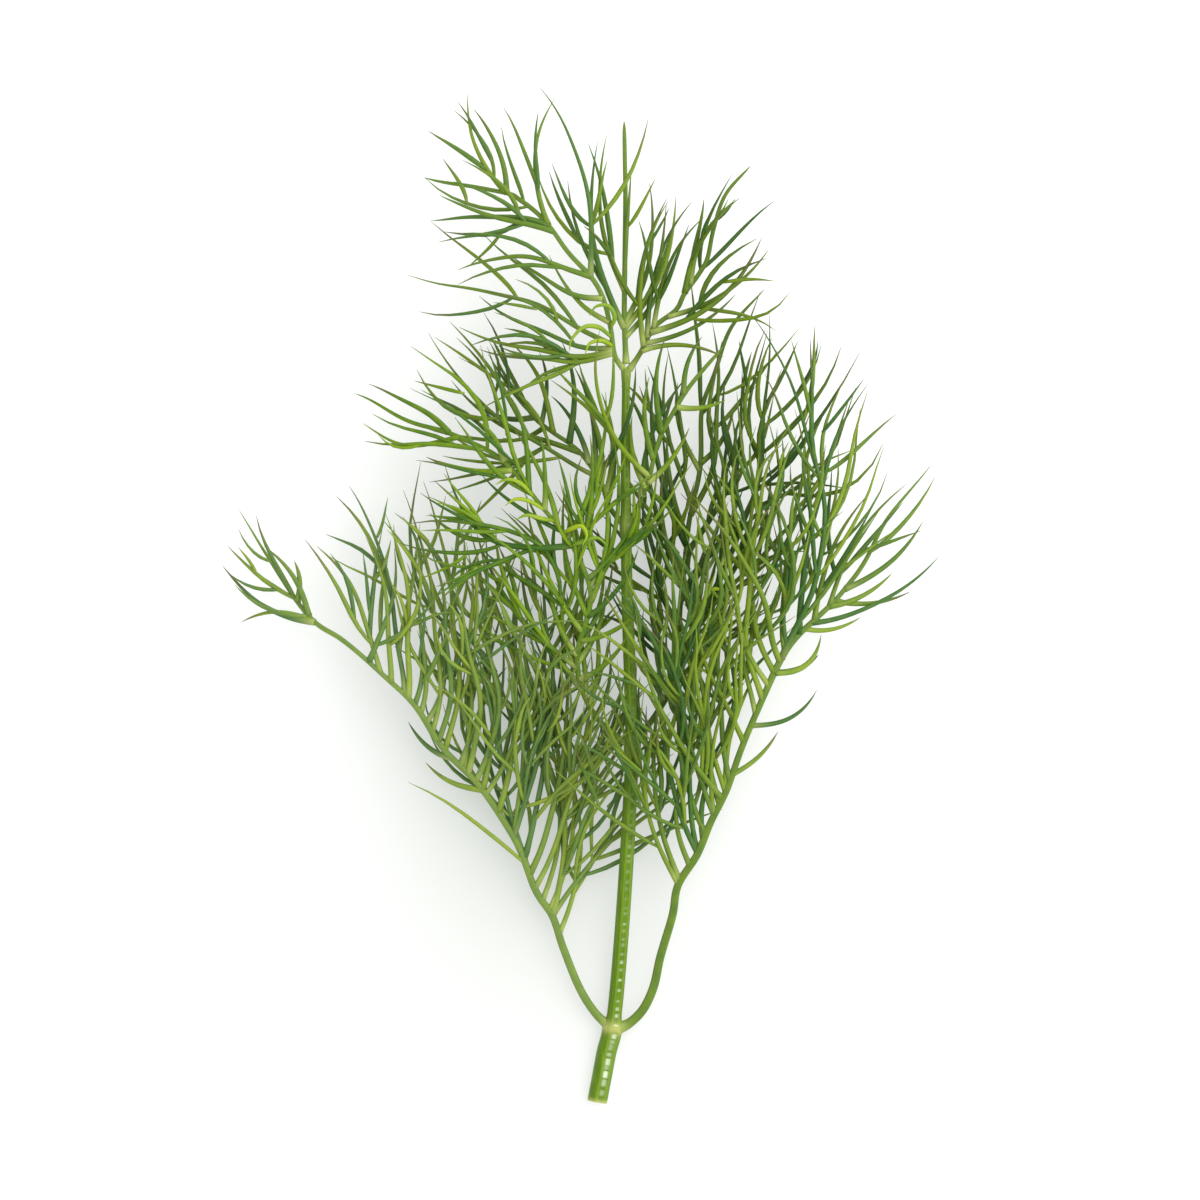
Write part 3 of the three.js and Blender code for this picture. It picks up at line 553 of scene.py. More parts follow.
# Each frond: its seed, the radius of its stalk, the rib point where blades begin on the rib itself,
# its rib's route, and its sprays as rib point, tip and sometimes bow
FRONDS = {
    "lower_left": {
        "seed": 12,
        "radius": 0.85,
        "bare": 12.5,
        "pitch": 5.4,
        "rib": [
            (5, -72.2, 2), (2.4, -69.8, 2.1), (-0.3, -65.5, 2.3), (-3, -58.8, 2.8), (-4.8, -53.5, 3.2),
            (-7.8, -48.8, 3.8), (-11.3, -40, 4.8), (-16.2, -32, 6), (-22.7, -25.2, 7.5),
            (-28.3, -17.5, 9), (-33.5, -12.7, 9.5), (-39.2, -7.8, 9), (-43.8, -4.2, 7.6),
            (-49.3, 2.8, 4.8), (-57.3, 14.5, 0),
        ],
        "sprays": [
            (4, 19.8, -28.8, 1.2, 2), (4, -9, -9.7, 3), (4.2, -2.7, -20.5, 2.6), (4.6, -6, -20, 3),
            (5, 1.5, -7.2, 3, -3), (5, -12.7, -2.2, 4, 3), (5.6, -9, -3, 5), (6, -16.8, 6.2, 5),
            (6.5, -14.5, -4, 7), (7, -21.5, 8.7, 6), (7.5, -24, 0, 5), (8, -27, 19.5, 6),
            (8.4, -30.3, 17.8, 7), (9.3, -39.3, 18.2, 6, -3), (10.3, -31.2, 8.3, 8), (10, -44, 8.7, 6),
            (9.7, -36, 9.5, 9), (12, -60.2, 5.3, 2), (12, -57, -4.2, 3, -2), (12.2, -57.8, 2.2, 4),
            (12.2, -52.8, 8.7, 7), (12.6, -47.8, 6.2, 8), (7, -25.8, -27.7, 4), (7.8, -28.7, -21.3, 4),
            (3.4, -1.5, -30, 1.8), (5.3, -4, -8, 2.5), (8.6, -23, -4, 6), (7.6, -18.5, 12, 4),
            (6, -8.5, 12, 3), (9, -27.5, 2, 6),
        ],
    },
    "lower_right": {
        "seed": 29,
        "radius": 0.95,
        "bare": 16,
        "pitch": 5.4,
        "rib": [
            (6, -72.4, 2), (8.2, -71.4, 2.1), (10.5, -69, 2.3), (12.2, -65.2, 2.8), (13.3, -60.2, 3.5),
            (15.3, -53.2, 5), (16.2, -48, 6), (19.5, -42.7, 7.2), (22, -37.3, 8.2), (24.2, -32.7, 9),
            (26.3, -26.3, 10), (29.7, -17.5, 10.5), (33.8, -10.2, 10.5), (37, -5.8, 10), (41.7, -1, 9),
            (44.2, 1.8, 8), (47.5, 6.2, 6.4), (51.7, 13.7, 3.8), (58.8, 22.3, 0),
        ],
        "sprays": [
            (6, 10.5, -15.5, 13.5, 3), (6.1, 14.5, -10.5, 11), (7, 13.2, -7.2, 12.5, 2.5),
            (7, 20.2, -0.5, 12, 2), (8.2, 17.5, 8, 13.5), (9, 22.3, 6.2, 11), (9.3, 27, 2, 12),
            (9.5, 32.7, -23, 8), (10.2, 19.8, 16.2, 11), (10.5, 38.7, -15.5, 7, -2),
            (11, 34.8, 29.5, 12), (11.3, 25, 24, 12), (11.9, 18.7, 16.7, 15, -2), (11.6, 30, 24, 9),
            (12, 28, 46.5, 9, -9), (12.2, 44.2, 36.7, 7), (13, 48.3, 36, 7), (13.5, 47.5, 17.7, 7),
            (14, 53.8, 19.2, 6), (15, 57.3, 12.8, 4), (14, 52.3, 4.3, 5), (13.4, 60.2, 7, 2),
            (14.3, 55.5, 1.2, 3), (13.2, 47.2, -3, 6), (11.6, 40.3, -6.2, 6, -2), (11.6, 39.5, -9.5, 7),
            (8.6, 22.5, -8, 10), (7.6, 17.5, -14, 10), (10.7, 30.5, 4, 11), (12.4, 36, 12, 10),
        ],
    },
    "second_left": {
        "seed": 31,
        "radius": 0.6,
        "bare": 8,
        "pitch": 5.4,
        "rib": [
            (8.2, -24.7, 9.3), (4.8, -22.3, 9.3), (1.5, -18.8, 9.5), (-0.3, -14.7, 10),
            (-0.2, -9.7, 10.8), (1.2, -3, 12), (1.3, 2, 13), (-1.7, 9, 14.5), (-6, 14.5, 15.5),
            (-12, 22, 15.5), (-19.7, 26.3, 13.5), (-28, 29.8, 10.5), (-37.3, 33.3, 7),
        ],
        "sprays": [
            (5.5, 3.2, 21.2, 15), (4.5, 5.2, 6.2, 11), (4, -5.5, 6.2, 9), (3, -6.8, -0.5, 8),
            (3.6, -17.5, 11, 7.5), (3.4, -1.5, 6, 7.5), (4.6, -9.5, 16, 11), (5, -3, 18, 11),
            (7, -22.3, 22, 11, 7), (7.4, -16.2, 20.2, 13), (8, -6.8, 26.2, 18), (8.8, -25.2, 23.7, 11),
            (9, -17.2, 28.7, 16), (10, -35.8, 28.3, 8), (10.2, -35.2, 35, 9), (7.2, -3.5, 23.7, 17),
            (2.6, 5, -6, 8), (6, 4.8, 14, 12), (4.2, 3.5, 8, 9), (7.6, -10.5, 27, 14),
            (6.8, 1.5, 27, 15), (3.8, 4.2, 2, 8), (8.4, -12, 33, 13), (2.5, -4, 2, 6), (2.2, 2, -2, 7),
            (2.8, -10, 6, 6),
        ],
    },
    "second_right": {
        "seed": 41,
        "radius": 0.6,
        "bare": 7.5,
        "pitch": 4,
        "rib": [
            (8.8, -24.6, 9), (12.3, -19.7, 7.5), (14.5, -15.5, 6), (15.8, -10.2, 5), (17, -0.5, 4.5),
            (17.7, 7.3, 4.5), (18.5, 15.8, 5), (20, 26.8, 5.5), (20.8, 32.3, 5.5), (22.5, 37.3, 5),
            (25.3, 45.3, 4), (30.8, 51.7, 2.5),
        ],
        "sprays": [
            (3, 31.5, 46.7, 6, -5), (2.5, 12.3, 6.2, 4), (3.5, 13.2, 12.8, 5), (5, 27.3, 38.2, 4),
            (5.4, 14.5, 27.8, 6), (2.2, 25.7, 6.2, 3), (1.6, 10.5, -2, 4), (2.7, 20.5, 12, 3),
            (4, 24, 22, 3), (4.4, 13.5, 22, 7), (5.8, 22, 46, 6), (3.2, 29, 16, 2.5),
            (6.5, 16.5, 36.2, 4), (6.6, 26, 32.8, 3), (4.6, 11, 30, 5), (5.2, 12.5, 38, 5),
            (3.6, 10.5, 18, 4), (6, 14.8, 41, 4),
        ],
    },
    "third_left": {
        "seed": 53,
        "radius": 0.5,
        "bare": 5,
        "pitch": 7,
        "rib": [
            (7.2, 11.8, 13.2), (4.7, 15, 12.9), (3.3, 19.2, 11.6), (0, 24, 9.8), (-4.2, 26.8, 8.4),
            (-7.3, 29.8, 7), (-10.2, 35.3, 5.6), (-12, 38.7, 4.6), (-14.5, 43.3, 4),
        ],
        "sprays": [
            (2.2, -25.3, 44.3, 4, 3), (3, -21.3, 36.5, 5), (4, -11.7, 42.7, 7), (3.4, -3.2, 42, 8),
            (4.6, -6.8, 40.8, 6), (2, 0.7, 32.8, 9), (5, -17.7, 32.8, 4), (2.6, -4.5, 33, 7),
            (1.5, 3.5, 34, 8), (2.4, -1, 38, 6), (1.2, 4.2, 29, 9), (4.4, -13.5, 27, 4),
        ],
    },
    "third_right": {
        "seed": 61,
        "radius": 0.5,
        "bare": 4,
        "pitch": 7,
        "rib": [
            (7.9, 11.8, 13.2), (9.8, 15.8, 14.2), (11.5, 19.8, 15.5), (13, 25.7, 16), (15.5, 31.2, 16),
            (18.2, 35.3, 15), (23.5, 41.2, 13),
        ],
        "sprays": [
            (2, 3.2, 43.7, 21, 4), (4, 23.5, 32.2, 15), (3.2, 14, 42.8, 17), (2.5, 11.2, 36.2, 17),
            (4.5, 19.8, 42.8, 14), (1.8, 18.2, 27.8, 14),
        ],
    },
    "fourth_left": {
        "seed": 71,
        "radius": 0.5,
        "bare": 6.5,
        "pitch": 16,
        "rib": [
            (7.2, 37.6, 13.5), (5.6, 40, 14.4), (4.9, 44.5, 15), (3.7, 49.5, 15.2), (1.8, 53.3, 15),
            (-1.7, 57.5, 14), (-4.8, 61.3, 12.5), (-9.5, 65.5, 10), (-12, 67.3, 8.5), (-18.5, 69, 6),
            (-26, 70.2, 4),
        ],
        "sprays": [
            (4, -7, 84.8, 12, -3), (4, -20.8, 54.7, 9, -2), (6, -24.7, 63.2, 6, -1),
            (5.8, -23.2, 67.3, 9, 1), (6, -4.5, 82.8, 9, 3.2), (8, -19, 84.2, 5, 2),
            (8, -18, 81.5, 6, -1.2), (1.4, -29.8, 53.5, 5, -2), (1.2, -20.5, 45.3, 8),
            (1.1, -14.8, 40.8, 11, 1.5), (3, -11.7, 56.8, 9), (2.2, -5, 56.3, 11),
            (1.3, -17.5, 50.5, 7), (1.2, -17, 41.5, 9),
        ],
    },
    "fourth_right": {
        "seed": 83,
        "radius": 0.5,
        "bare": 5,
        "pitch": 15,
        "rib": [
            (8, 37.6, 13.3), (9.8, 40.4, 13.4), (12, 44.6, 13.2), (15.5, 47.5, 12.5), (17, 50.3, 12),
            (19.7, 53.8, 11), (21.3, 56.3, 10.5), (22.7, 61.3, 9), (24.7, 67.3, 7), (28.7, 72, 5),
        ],
        "sprays": [
            (1.6, 18.8, 65.7, 10), (2, 20.7, 62.7, 13), (4, 27, 66, 8), (4.4, 26, 65.5, 11),
            (2.6, 31.2, 57.3, 8), (1.4, 25.3, 49.7, 12), (1.8, 30.7, 59.3, 10, -3),
            (1.3, 14.3, 65.3, 14), (1.1, 23.5, 39.5, 11, 1.5),
        ],
    },
    "top_frond": {
        "seed": 97,
        "radius": 0.55,
        "bare": 1.2,
        "pitch": 16,
        "rib": [
            (7.5, 38.6, 13.4), (7.2, 46.2, 13), (7.3, 55.8, 11.8), (7.4, 66.2, 9.8), (7.3, 73.7, 7.8),
            (7.2, 79.5, 6),
        ],
        "sprays": [
            (0.8, 16.2, 67.3, 10), (0.9, 11.5, 69.3, 6), (0.6, 14.5, 58.2, 8), (0.8, 2.7, 75.7, 11),
            (1.5, 4.3, 77, 8),
        ],
    },
}


class Draws:
    """Repeatable draws: each state is a multiple of the one before it, modulo 2^31 - 1."""

    MODULUS = 2147483647
    MULTIPLE = 16807
    SEED_MULTIPLE = 7919

    def __init__(self, seed):
        self.state = seed * self.SEED_MULTIPLE % self.MODULUS

    def between(self, low, high):
        """The next draw, evenly spread from low to high."""
        self.state = self.state * self.MULTIPLE % self.MODULUS
        return low + (high - low) * self.state / self.MODULUS


class Bow:
    """A quadratic curve: (1-t)^2 start + 2t(1-t) middle + t^2 tip."""

    def __init__(self, start, middle, tip):
        self.controls = np.array([start, middle, tip], float)
        self.turn = 0
        self.share = 0

    def __call__(self, t):
        """Places on the curve, for t from 0 to 1."""
        t = np.asarray(t, float)[..., None]
        start, middle, tip = self.controls
        return (1 - t) ** 2 * start + 2 * t * (1 - t) * middle + t**2 * tip

    def lifted(self, lift):
        """The same bow with its tip raised by a lift and its middle by half of that."""
        start, middle, tip = self.controls
        bow = Bow(start, middle + [0, 0, lift / 2], tip + [0, 0, lift])
        bow.turn = self.turn
        bow.share = self.share
        return bow


def length_of(path):
    """Length of a path as the sum of its twelve chords."""
    return np.linalg.norm(np.diff(path(np.linspace(0, 1, 13)), axis=0), axis=1).sum()


def frame_at(path, t):
    """At t on a path: its place, the way along it, the level way across it, and the way up."""
    ends = path(np.clip([t - 0.0001, t + 0.0001], 0, 1))
    along = unit(ends[1] - ends[0])
    side = unit(np.array([-along[1], along[0], 0]))
    return path(t), along, side, np.cross(along, side)


def spray_path(rib, intervals, at, x, y, z, bulge=None):
    """A bow from the rib to the spray's tip, bulging away from the rib, or by a stated amount."""
    start, heading, _, _ = frame_at(rib, at / intervals)
    tip = np.array([x, y, z], float)
    chord = tip - start
    length = np.linalg.norm(chord)
    if bulge is None:
        bulge = np.sign(heading[0] * chord[1] - heading[1] * chord[0]) * SPRAY_BOW * length
    left = unit(np.array([-chord[1], chord[0], 0]))
    bow = Bow(start, (start + tip) / 2 + left * 2 * bulge + [0, 0, SPRAY_ARCH * length], tip)
    bow.share = at / intervals
    return bow


def blade_path(spray, t, length, turn, draws, base_lean=BLADE_LEAN, curl=BLADE_CURL):
    """A blade leans out from its spray to the side that turn gives, and curls back to its way."""
    start, along, side, up = frame_at(spray, t)
    roll = draws.between(-ROLL_SWING, ROLL_SWING)
    lean = base_lean + draws.between(-LEAN_SWING, LEAN_SWING)
    root_lean = lean + curl + draws.between(-CURL_SWING, CURL_SWING)
    out = side * turn * np.cos(roll) + up * np.sin(roll)
    middle = start + length / 2 * (np.cos(root_lean) * along + np.sin(root_lean) * out)
    return Bow(start, middle, start + length * (np.cos(lean) * along + np.sin(lean) * out))


def blades_along(spray, first, pitch, draws):
    """Blades in pairs along a spray, further apart towards its tip, each as long as a share of what
    is still ahead of it."""
    length = length_of(spray)
    blades = []
    place = first
    while place < length - BLADE_TERMINAL:
        for turn in (1, -1):
            at = place + draws.between(0, BLADE_STAGGER)
            share = np.clip(BLADE_REACH * (length - at) + BLADE_EXTRA, BLADE_MIN, BLADE_MAX)
            wanted = share * draws.between(*LENGTH_SHARES)
            room = length - at - draws.between(0, BLADE_UNDERSHOOT)
            blade = blade_path(spray, at / length, max(BLADE_LEAST, min(wanted, room)), turn, draws)
            blade.turn = turn
            blade.share = at / length
            blades.append(blade)
        spread = NEAR_PITCH + (FAR_PITCH - NEAR_PITCH) * place / length
        place += pitch * draws.between(*PITCH_SHARES) * spread
    return blades


def is_solid(i):
    """Whether a blade is also one of the solid part's: three of every four."""
    return i % 4 != 1


class Thicket:
    """All strands grown so far, as points about 1 mm apart, each with a radius and its owner."""

    def __init__(self, capacity):
        self.points = np.zeros((capacity, 3))
        self.radii = np.zeros(capacity)
        self.owners = np.zeros(capacity, int)
        self.count = 0

    def add(self, points, radii, owner):
        """Keeps a strand's points, the radius at each of them, and its owner."""
        here = slice(self.count, self.count + len(points))
        self.points[here] = points
        self.radii[here] = radii
        self.owners[here] = owner
        self.count += len(points)

    def is_clear(self, samples, radius, owner, rooting, clearance, spacing):
        """Whether every sample is above the surface, below the ceiling, and further from each other
        strand than both radii and the clearance. Nearer than rooting to its start it may touch its
        own frond."""
        if (samples[:, 2] < radius).any() or (samples[:, 2] > CEILING - radius).any():
            return False
        reach = 2 * STUB_RADIUS + clearance + math.sqrt(spacing)
        points = self.points[: self.count]
        near = (points > samples.min(axis=0) - reach).all(axis=1)
        near &= (points < samples.max(axis=0) + reach).all(axis=1)
        apart = (radius + self.radii[: self.count][near] + clearance) ** 2 + spacing
        squares = ((samples[:, None] - points[near][None]) ** 2).sum(axis=2)
        rooted = np.linalg.norm(samples - samples[0], axis=1) < rooting
        own = self.owners[: self.count][near] == owner
        return not ((squares <= apart) & ~(rooted[:, None] & own)).any()

    def grow(self, path, radius, owner, rooting, clearance=CLEARANCE, spacing=SPACING_SQUARED):
        """Lifts or lowers a strand's tip until it is clear. One that finds no room isn't grown."""
        for lift in LIFTS:
            lifted = path.lifted(lift)
            steps = math.ceil(length_of(lifted)) + 1
            samples = lifted(np.linspace(0, 1, steps + 1))
            if self.is_clear(samples, radius, owner, rooting, clearance, spacing):
                self.add(samples, radius, owner)
                return [lifted]
        return []


class Frond:
    """One frond's paths: its rib, its sprays, and its blades and their forks."""

    def __init__(self, owner, name, seed, radius, bare, pitch, rib, sprays):
        self.owner = owner
        self.name = name
        self.seed = seed
        self.radius = radius
        self.pitch = pitch
        self.rib = lambda t: route_at(rib, t)
        self.intervals = len(rib) - 1
        self.bare = bare / self.intervals
        self.spray_paths = [spray_path(self.rib, self.intervals, *spray) for spray in sprays]

    def blade_paths(self):
        """Blades on the rib past its bare part, and then on each spray past its own."""
        draws = Draws(self.seed)
        feathered = lambda t: self.rib(self.bare + (1 - self.bare) * np.asarray(t))
        blades = blades_along(feathered, 0, self.pitch * TIP_PITCH, draws)
        for spray in self.sprays:
            bare = np.clip(BARE_SHARE * length_of(spray), BARE_MIN, BARE_MAX)
            pitch = self.pitch * (ROOT_PITCH + (TIP_PITCH - ROOT_PITCH) * spray.share**2)
            blades += blades_along(spray, bare, pitch, draws)
        return blades


thicket = Thicket(200000)
stem_samples = math.ceil(length_of(lambda t: route_at(STEM_ROUTE, t)))
stem_places = np.linspace(0, 1, stem_samples + 1)
thicket.add(route_at(STEM_ROUTE, stem_places), stem_radius(stem_places), -1)
fronds = [Frond(owner, name, **frond) for owner, (name, frond) in enumerate(FRONDS.items())]
for frond in fronds:
    rib_samples = math.ceil(length_of(frond.rib)) + 1
    thicket.add(frond.rib(np.linspace(0, 1, rib_samples + 1)), frond.radius, frond.owner)
for frond in fronds:
    frond.sprays = [
        grown for path in frond.spray_paths
        for grown in thicket.grow(path, SPRAY_RADIUS, frond.owner, SPRAY_ROOTING)
    ]
for frond in fronds:
    frond.all_blades = frond.blade_paths()
    frond.blades = []
    for i, path in enumerate(frond.all_blades):
        if is_solid(i):
            frond.blades += thicket.grow(path, BLADE_RADIUS, frond.owner, BLADE_ROOTING)


# The blades that are too fine to be solid parts, and the forks of them all
FORK_RADIUS = 0.36
FORK_LEAN = 0.22
FORK_CURL = 0.3
FORK_ROOTING = 3
# Where on a blade its forks leave, and how long the blade must be for each, by shares that are drawn
FORK_PLACES = (0.28, 0.5)
FORK_PLACE_SWING = 0.08
FORK_LENGTHS = (9, 13)
FORK_LENGTH_SHARES = (0.7, 1.3)
FORK_REACHES = (0.75, 1.1)
# Draws that let a fork grow: above the blade's share of its spray, and below the denseness and more
FORK_EARLINESS = (0.1, 1)
FORK_THINNING = (0, 0.8)
FORK_LEAST_DENSENESS = 0.2
LOWEST_FORK = -36
LIGHT_CLEARANCE = -0.15
LIGHT_SPACING = 0.1
MIDDLE_BEND = 0.17
TIP_BEND = 0.15
FILLER_START = 4
FILLER_PITCH = 9
FILLER_PLACE = 0.6
FILLER_DENSENESS = (0.35, 0.8)
EDGE_MARGIN = 0.5
# The solids' box in the routes' millimetres
BOX_LOW, BOX_HIGH = np.array(cad_box) / MM + ORIGIN_MM


def inside_box(points):
    """Whether points lie within the solids' box, less a small margin at its sides and its top."""
    level = (points[..., :2] > BOX_LOW[:2] + EDGE_MARGIN) & (points[..., :2] < BOX_HIGH[:2] - EDGE_MARGIN)
    return level.all(axis=-1) & (points[..., 2] < BOX_HIGH[2] - EDGE_MARGIN)


# Strands are densest round this point and sparse far from it, in mm
DENSE_MIDDLE = (2, -9)
DENSE_REACH = 33


def denseness(place):
    """Falls off with distance from the dense middle, as a bell."""
    return bell(math.hypot(place[0] - DENSE_MIDDLE[0], place[1] - DENSE_MIDDLE[1]), DENSE_REACH)


def fork_paths(blade, draws):
    """Up to two forks of a blade, turning to either side in their order, each about as long as
    what is left of the blade beyond it."""
    length = length_of(blade)
    turn = 1 if draws.between(0, 1) < 0.5 else -1
    forks = []
    for place, shortest in zip(FORK_PLACES, FORK_LENGTHS):
        if length * draws.between(*FORK_LENGTH_SHARES) < shortest:
            continue
        if draws.between(*FORK_EARLINESS) < blade.share:
            continue
        if draws.between(*FORK_THINNING) > FORK_LEAST_DENSENESS + denseness(blade(place)):
            continue
        at = place + draws.between(-FORK_PLACE_SWING, FORK_PLACE_SWING)
        reach = (1 - at) * length * draws.between(*FORK_REACHES)
        fork = blade_path(blade, at, reach, turn, draws, FORK_LEAN, FORK_CURL)
        fork.turn = turn
        if blade(at)[1] > LOWEST_FORK:
            forks.append(fork)
        turn = -turn
    return forks


# Sprays that cross over the stem and fill the middle, as rib point and tip
CROSSING_SPRAYS = {
    "lower_left": [
        (5.8, -12.5, -12, 7.5), (6.6, -19, -5, 8), (7.4, -22, 3, 9), (8.2, -25.5, 9, 9.5),
        (6.2, -12, 3, 8), (7.2, -15, -8, 9), (8.8, -29, 6, 9), (5.2, -7, -14, 6.5), (4.8, -1.5, -22, 5.5),
        (6.9, -10, -12, 8.5), (9.2, -33, 14, 9),
    ],
    "lower_right": [
        (8.8, 9, -2, 15.5), (9.8, 13, 9, 16), (6.6, 17, -28, 10), (7.4, 24, -24, 10), (8.2, 25, -14, 11),
        (9, 29.5, -12, 10),
    ],
    "second_left": [
        (5, 9.5, 8, 15.5), (6.2, 10.5, 17, 17), (4.4, 10, -2, 14.5), (7.2, 4, 34, 17), (3.2, 8, -6, 13.5),
        (5.6, 5.5, 26, 16.5),
    ],
    "third_left": [(1.3, 11.5, 33, 17), (2.2, 9, 38, 16.5)],
    "third_right": [(1.6, 8.5, 30, 18), (1.2, 17, 36, 15)],
}


def grow_lightly(paths, radius, owner, rooting):
    """Those of some strands that find room inside the box, where they may touch each other."""
    grown = []
    for path in paths:
        if inside_box(path(np.linspace(0, 1, 9))).all():
            grown += thicket.grow(path, radius, owner, rooting, LIGHT_CLEARANCE, LIGHT_SPACING)
    return grown


def bend(blade, draws):
    """Moves a blade's middle and tip to its level side by shares of its length."""
    length = length_of(blade)
    side = frame_at(blade, 0.5)[2]
    tip = blade.controls[2] + side * length * draws.between(-TIP_BEND, TIP_BEND)
    blade.controls[1] += side * length * draws.between(-MIDDLE_BEND, MIDDLE_BEND)
    if inside_box(tip):
        blade.controls[2] = tip


for frond in fronds:
    light_blades = [path for i, path in enumerate(frond.all_blades) if not is_solid(i)]
    frond.blades += grow_lightly(light_blades, BLADE_RADIUS, frond.owner, BLADE_ROOTING)
for frond in fronds:
    draws = Draws(frond.seed + 2)
    tips = CROSSING_SPRAYS.get(frond.name, [])
    crossing = [spray_path(frond.rib, frond.intervals, *tip) for tip in tips]
    frond.sprays += grow_lightly(crossing, SPRAY_RADIUS, frond.owner, SPRAY_ROOTING)
    for spray in frond.sprays:
        if denseness(spray(FILLER_PLACE)) > draws.between(*FILLER_DENSENESS):
            fillers = blades_along(spray, FILLER_START, FILLER_PITCH, draws)
            frond.blades += grow_lightly(fillers, BLADE_RADIUS, frond.owner, BLADE_ROOTING)
for frond in fronds:
    draws = Draws(frond.seed + 1)
    frond.forks = []
    for blade in frond.blades:
        bend(blade, draws)
        frond.forks += grow_lightly(fork_paths(blade, draws), FORK_RADIUS, frond.owner, FORK_ROOTING)


# The strands' unevenness: two waves, in mm of size and wavelength, that run on with height too
SWAYS = ((0.5, 34), (0.2, 17))
SWAY_BY_HEIGHT = 0.3
STEM_STILLNESS = 8
EDGE_STILLNESS = 7
STALK_TOP = -52
STALK_FADE = 30


def swayed(points):
    """Points moved sideways by sines of the way across and of height, so that strands are uneven
    but stay together where they meet. Near the stem and the box's edges nothing moves, nor do the
    bare stalks."""
    x, y, z = points[..., 0], points[..., 1], points[..., 2]
    shift_x = sum(size * np.sin(2 * math.pi * y / wave + SWAY_BY_HEIGHT * z + wave) for size, wave in SWAYS)
    shift_y = sum(size * np.sin(2 * math.pi * x / wave + SWAY_BY_HEIGHT * z) for size, wave in SWAYS)
    route = np.array(STEM_ROUTE)
    from_stem = x - np.interp(y, route[:, 1], route[:, 0])
    from_edge = np.minimum.reduce([x - BOX_LOW[0], BOX_HIGH[0] - x, y - BOX_LOW[1], BOX_HIGH[1] - y])
    freedom = (1 - bell(from_stem, STEM_STILLNESS)) * np.clip(from_edge / EDGE_STILLNESS, 0, 1)
    freedom *= np.clip((y - STALK_TOP) / STALK_FADE, 0, 1)
    return np.stack([x + freedom * shift_x, y + freedom * shift_y, z], axis=-1)


# The finished strands: rings along them, sides round them, and how thick they are for their width
RIB_SIDES = 14
RIB_RINGS_PER_INTERVAL = 14
SPRAY_RINGS = np.linspace(0, 1, 22)
SPRAY_SIDES = 8
SPRAY_FLATNESS = 0.85
BLADE_RINGS = np.array([0, 0.08, 0.18, 0.3, 0.44, 0.58, 0.72, 0.86, 1])
FORK_RINGS = np.array([0, 0.12, 0.28, 0.46, 0.64, 0.82, 1])
BLADE_SIDES = 6
BLADE_FLATNESS = 0.75
SEEN_RIB_SHARE = 0.86
SEEN_BLADE_RADIUS = 0.41
SEEN_FORK_RADIUS = 0.35


def swollen_profile(t):
    """A blade's width: a thin neck, full at a third, and then drawn out to a fine point."""
    return (0.6 + 0.4 * np.sin(np.minimum(t / 0.35, 1) * math.pi / 2)) * (1 - 0.93 * t**2.4)


def spray_profile(t):
    """A spray's width: widened where it leaves the rib, then even, then drawn out to a point."""
    return (1 - 0.45 * t + 0.15 * bell(t, 0.04)) * (1 - 0.9 * t**5)


def strands(bows, t, profile, radii, sides, flatness, hooks, tones, tip_darkness, paleness, pale_reach):
    """Tubes round many bows at once. Ring t of a strand is an ellipse of its radius times the
    profile, as thick as flatness of its width. A hook bends the tip aside by its share of the
    length times t^3, where that stays inside the box. Each end is closed by a fan to a point on the
    middle line."""
    controls = np.array([path.controls for path in bows])
    weights = np.stack([(1 - t) ** 2, 2 * t * (1 - t), t**2], axis=1)
    centres = np.einsum("rk,nkx->nrx", weights, controls)
    lengths = np.linalg.norm(np.diff(centres, axis=1), axis=2).sum(axis=1)
    left, _ = frames_along(centres)
    tips = centres[:, -1] + left[:, -1] * (hooks * lengths)[:, None]
    hooks = np.where(inside_box(tips), hooks, 0)
    centres = centres + left * (hooks * lengths)[:, None, None] * (t**3)[None, :, None]
    degrees = np.arange(sides) * 360 / sides
    radius = (radii[:, None] * profile(t)[None])[..., None]
    rings = rings_about(centres, radius, degrees, flatness).reshape(len(bows), -1, 3)
    points = np.concatenate([rings, centres[:, :1], centres[:, -1:]], axis=1)

    along = np.concatenate([np.repeat(t, sides), [0, 1]])
    marks = np.empty((len(bows), len(along), 4))
    marks[..., 0] = along
    marks[..., 1] = tones[:, None]
    marks[..., 2] = paleness[:, None] * bell(along[None] * lengths[:, None], pale_reach)
    marks[..., 3] = tip_darkness[:, None]

    first = (np.arange(len(bows)) * len(along))[:, None, None]
    quads = (ring_quads(len(t), sides)[None] + first).reshape(-1, 4)
    fans = (end_fans(len(t), sides)[None] + first).reshape(-1, 3)
    return points.reshape(-1, 3), quads, fans, marks.reshape(-1, 4)


# The rib's groove along its top, its clasping base, and the pale line beside the groove
RIB_TONE = 0.45
GROOVE_AT, GROOVE_WIDTH, GROOVE_DEPTH = 90, 22, 0.12
CLASP_REACH, CLASP_SHARE = 1.6, 0.35
RIB_TAPER, RIB_TAPER_POWER = 0.92, 30
PALE_BASE_REACH = 1.8
PALE_LINE_AT, PALE_LINE_WIDTH, PALE_LINE_SHARE = 55, 16, 0.22


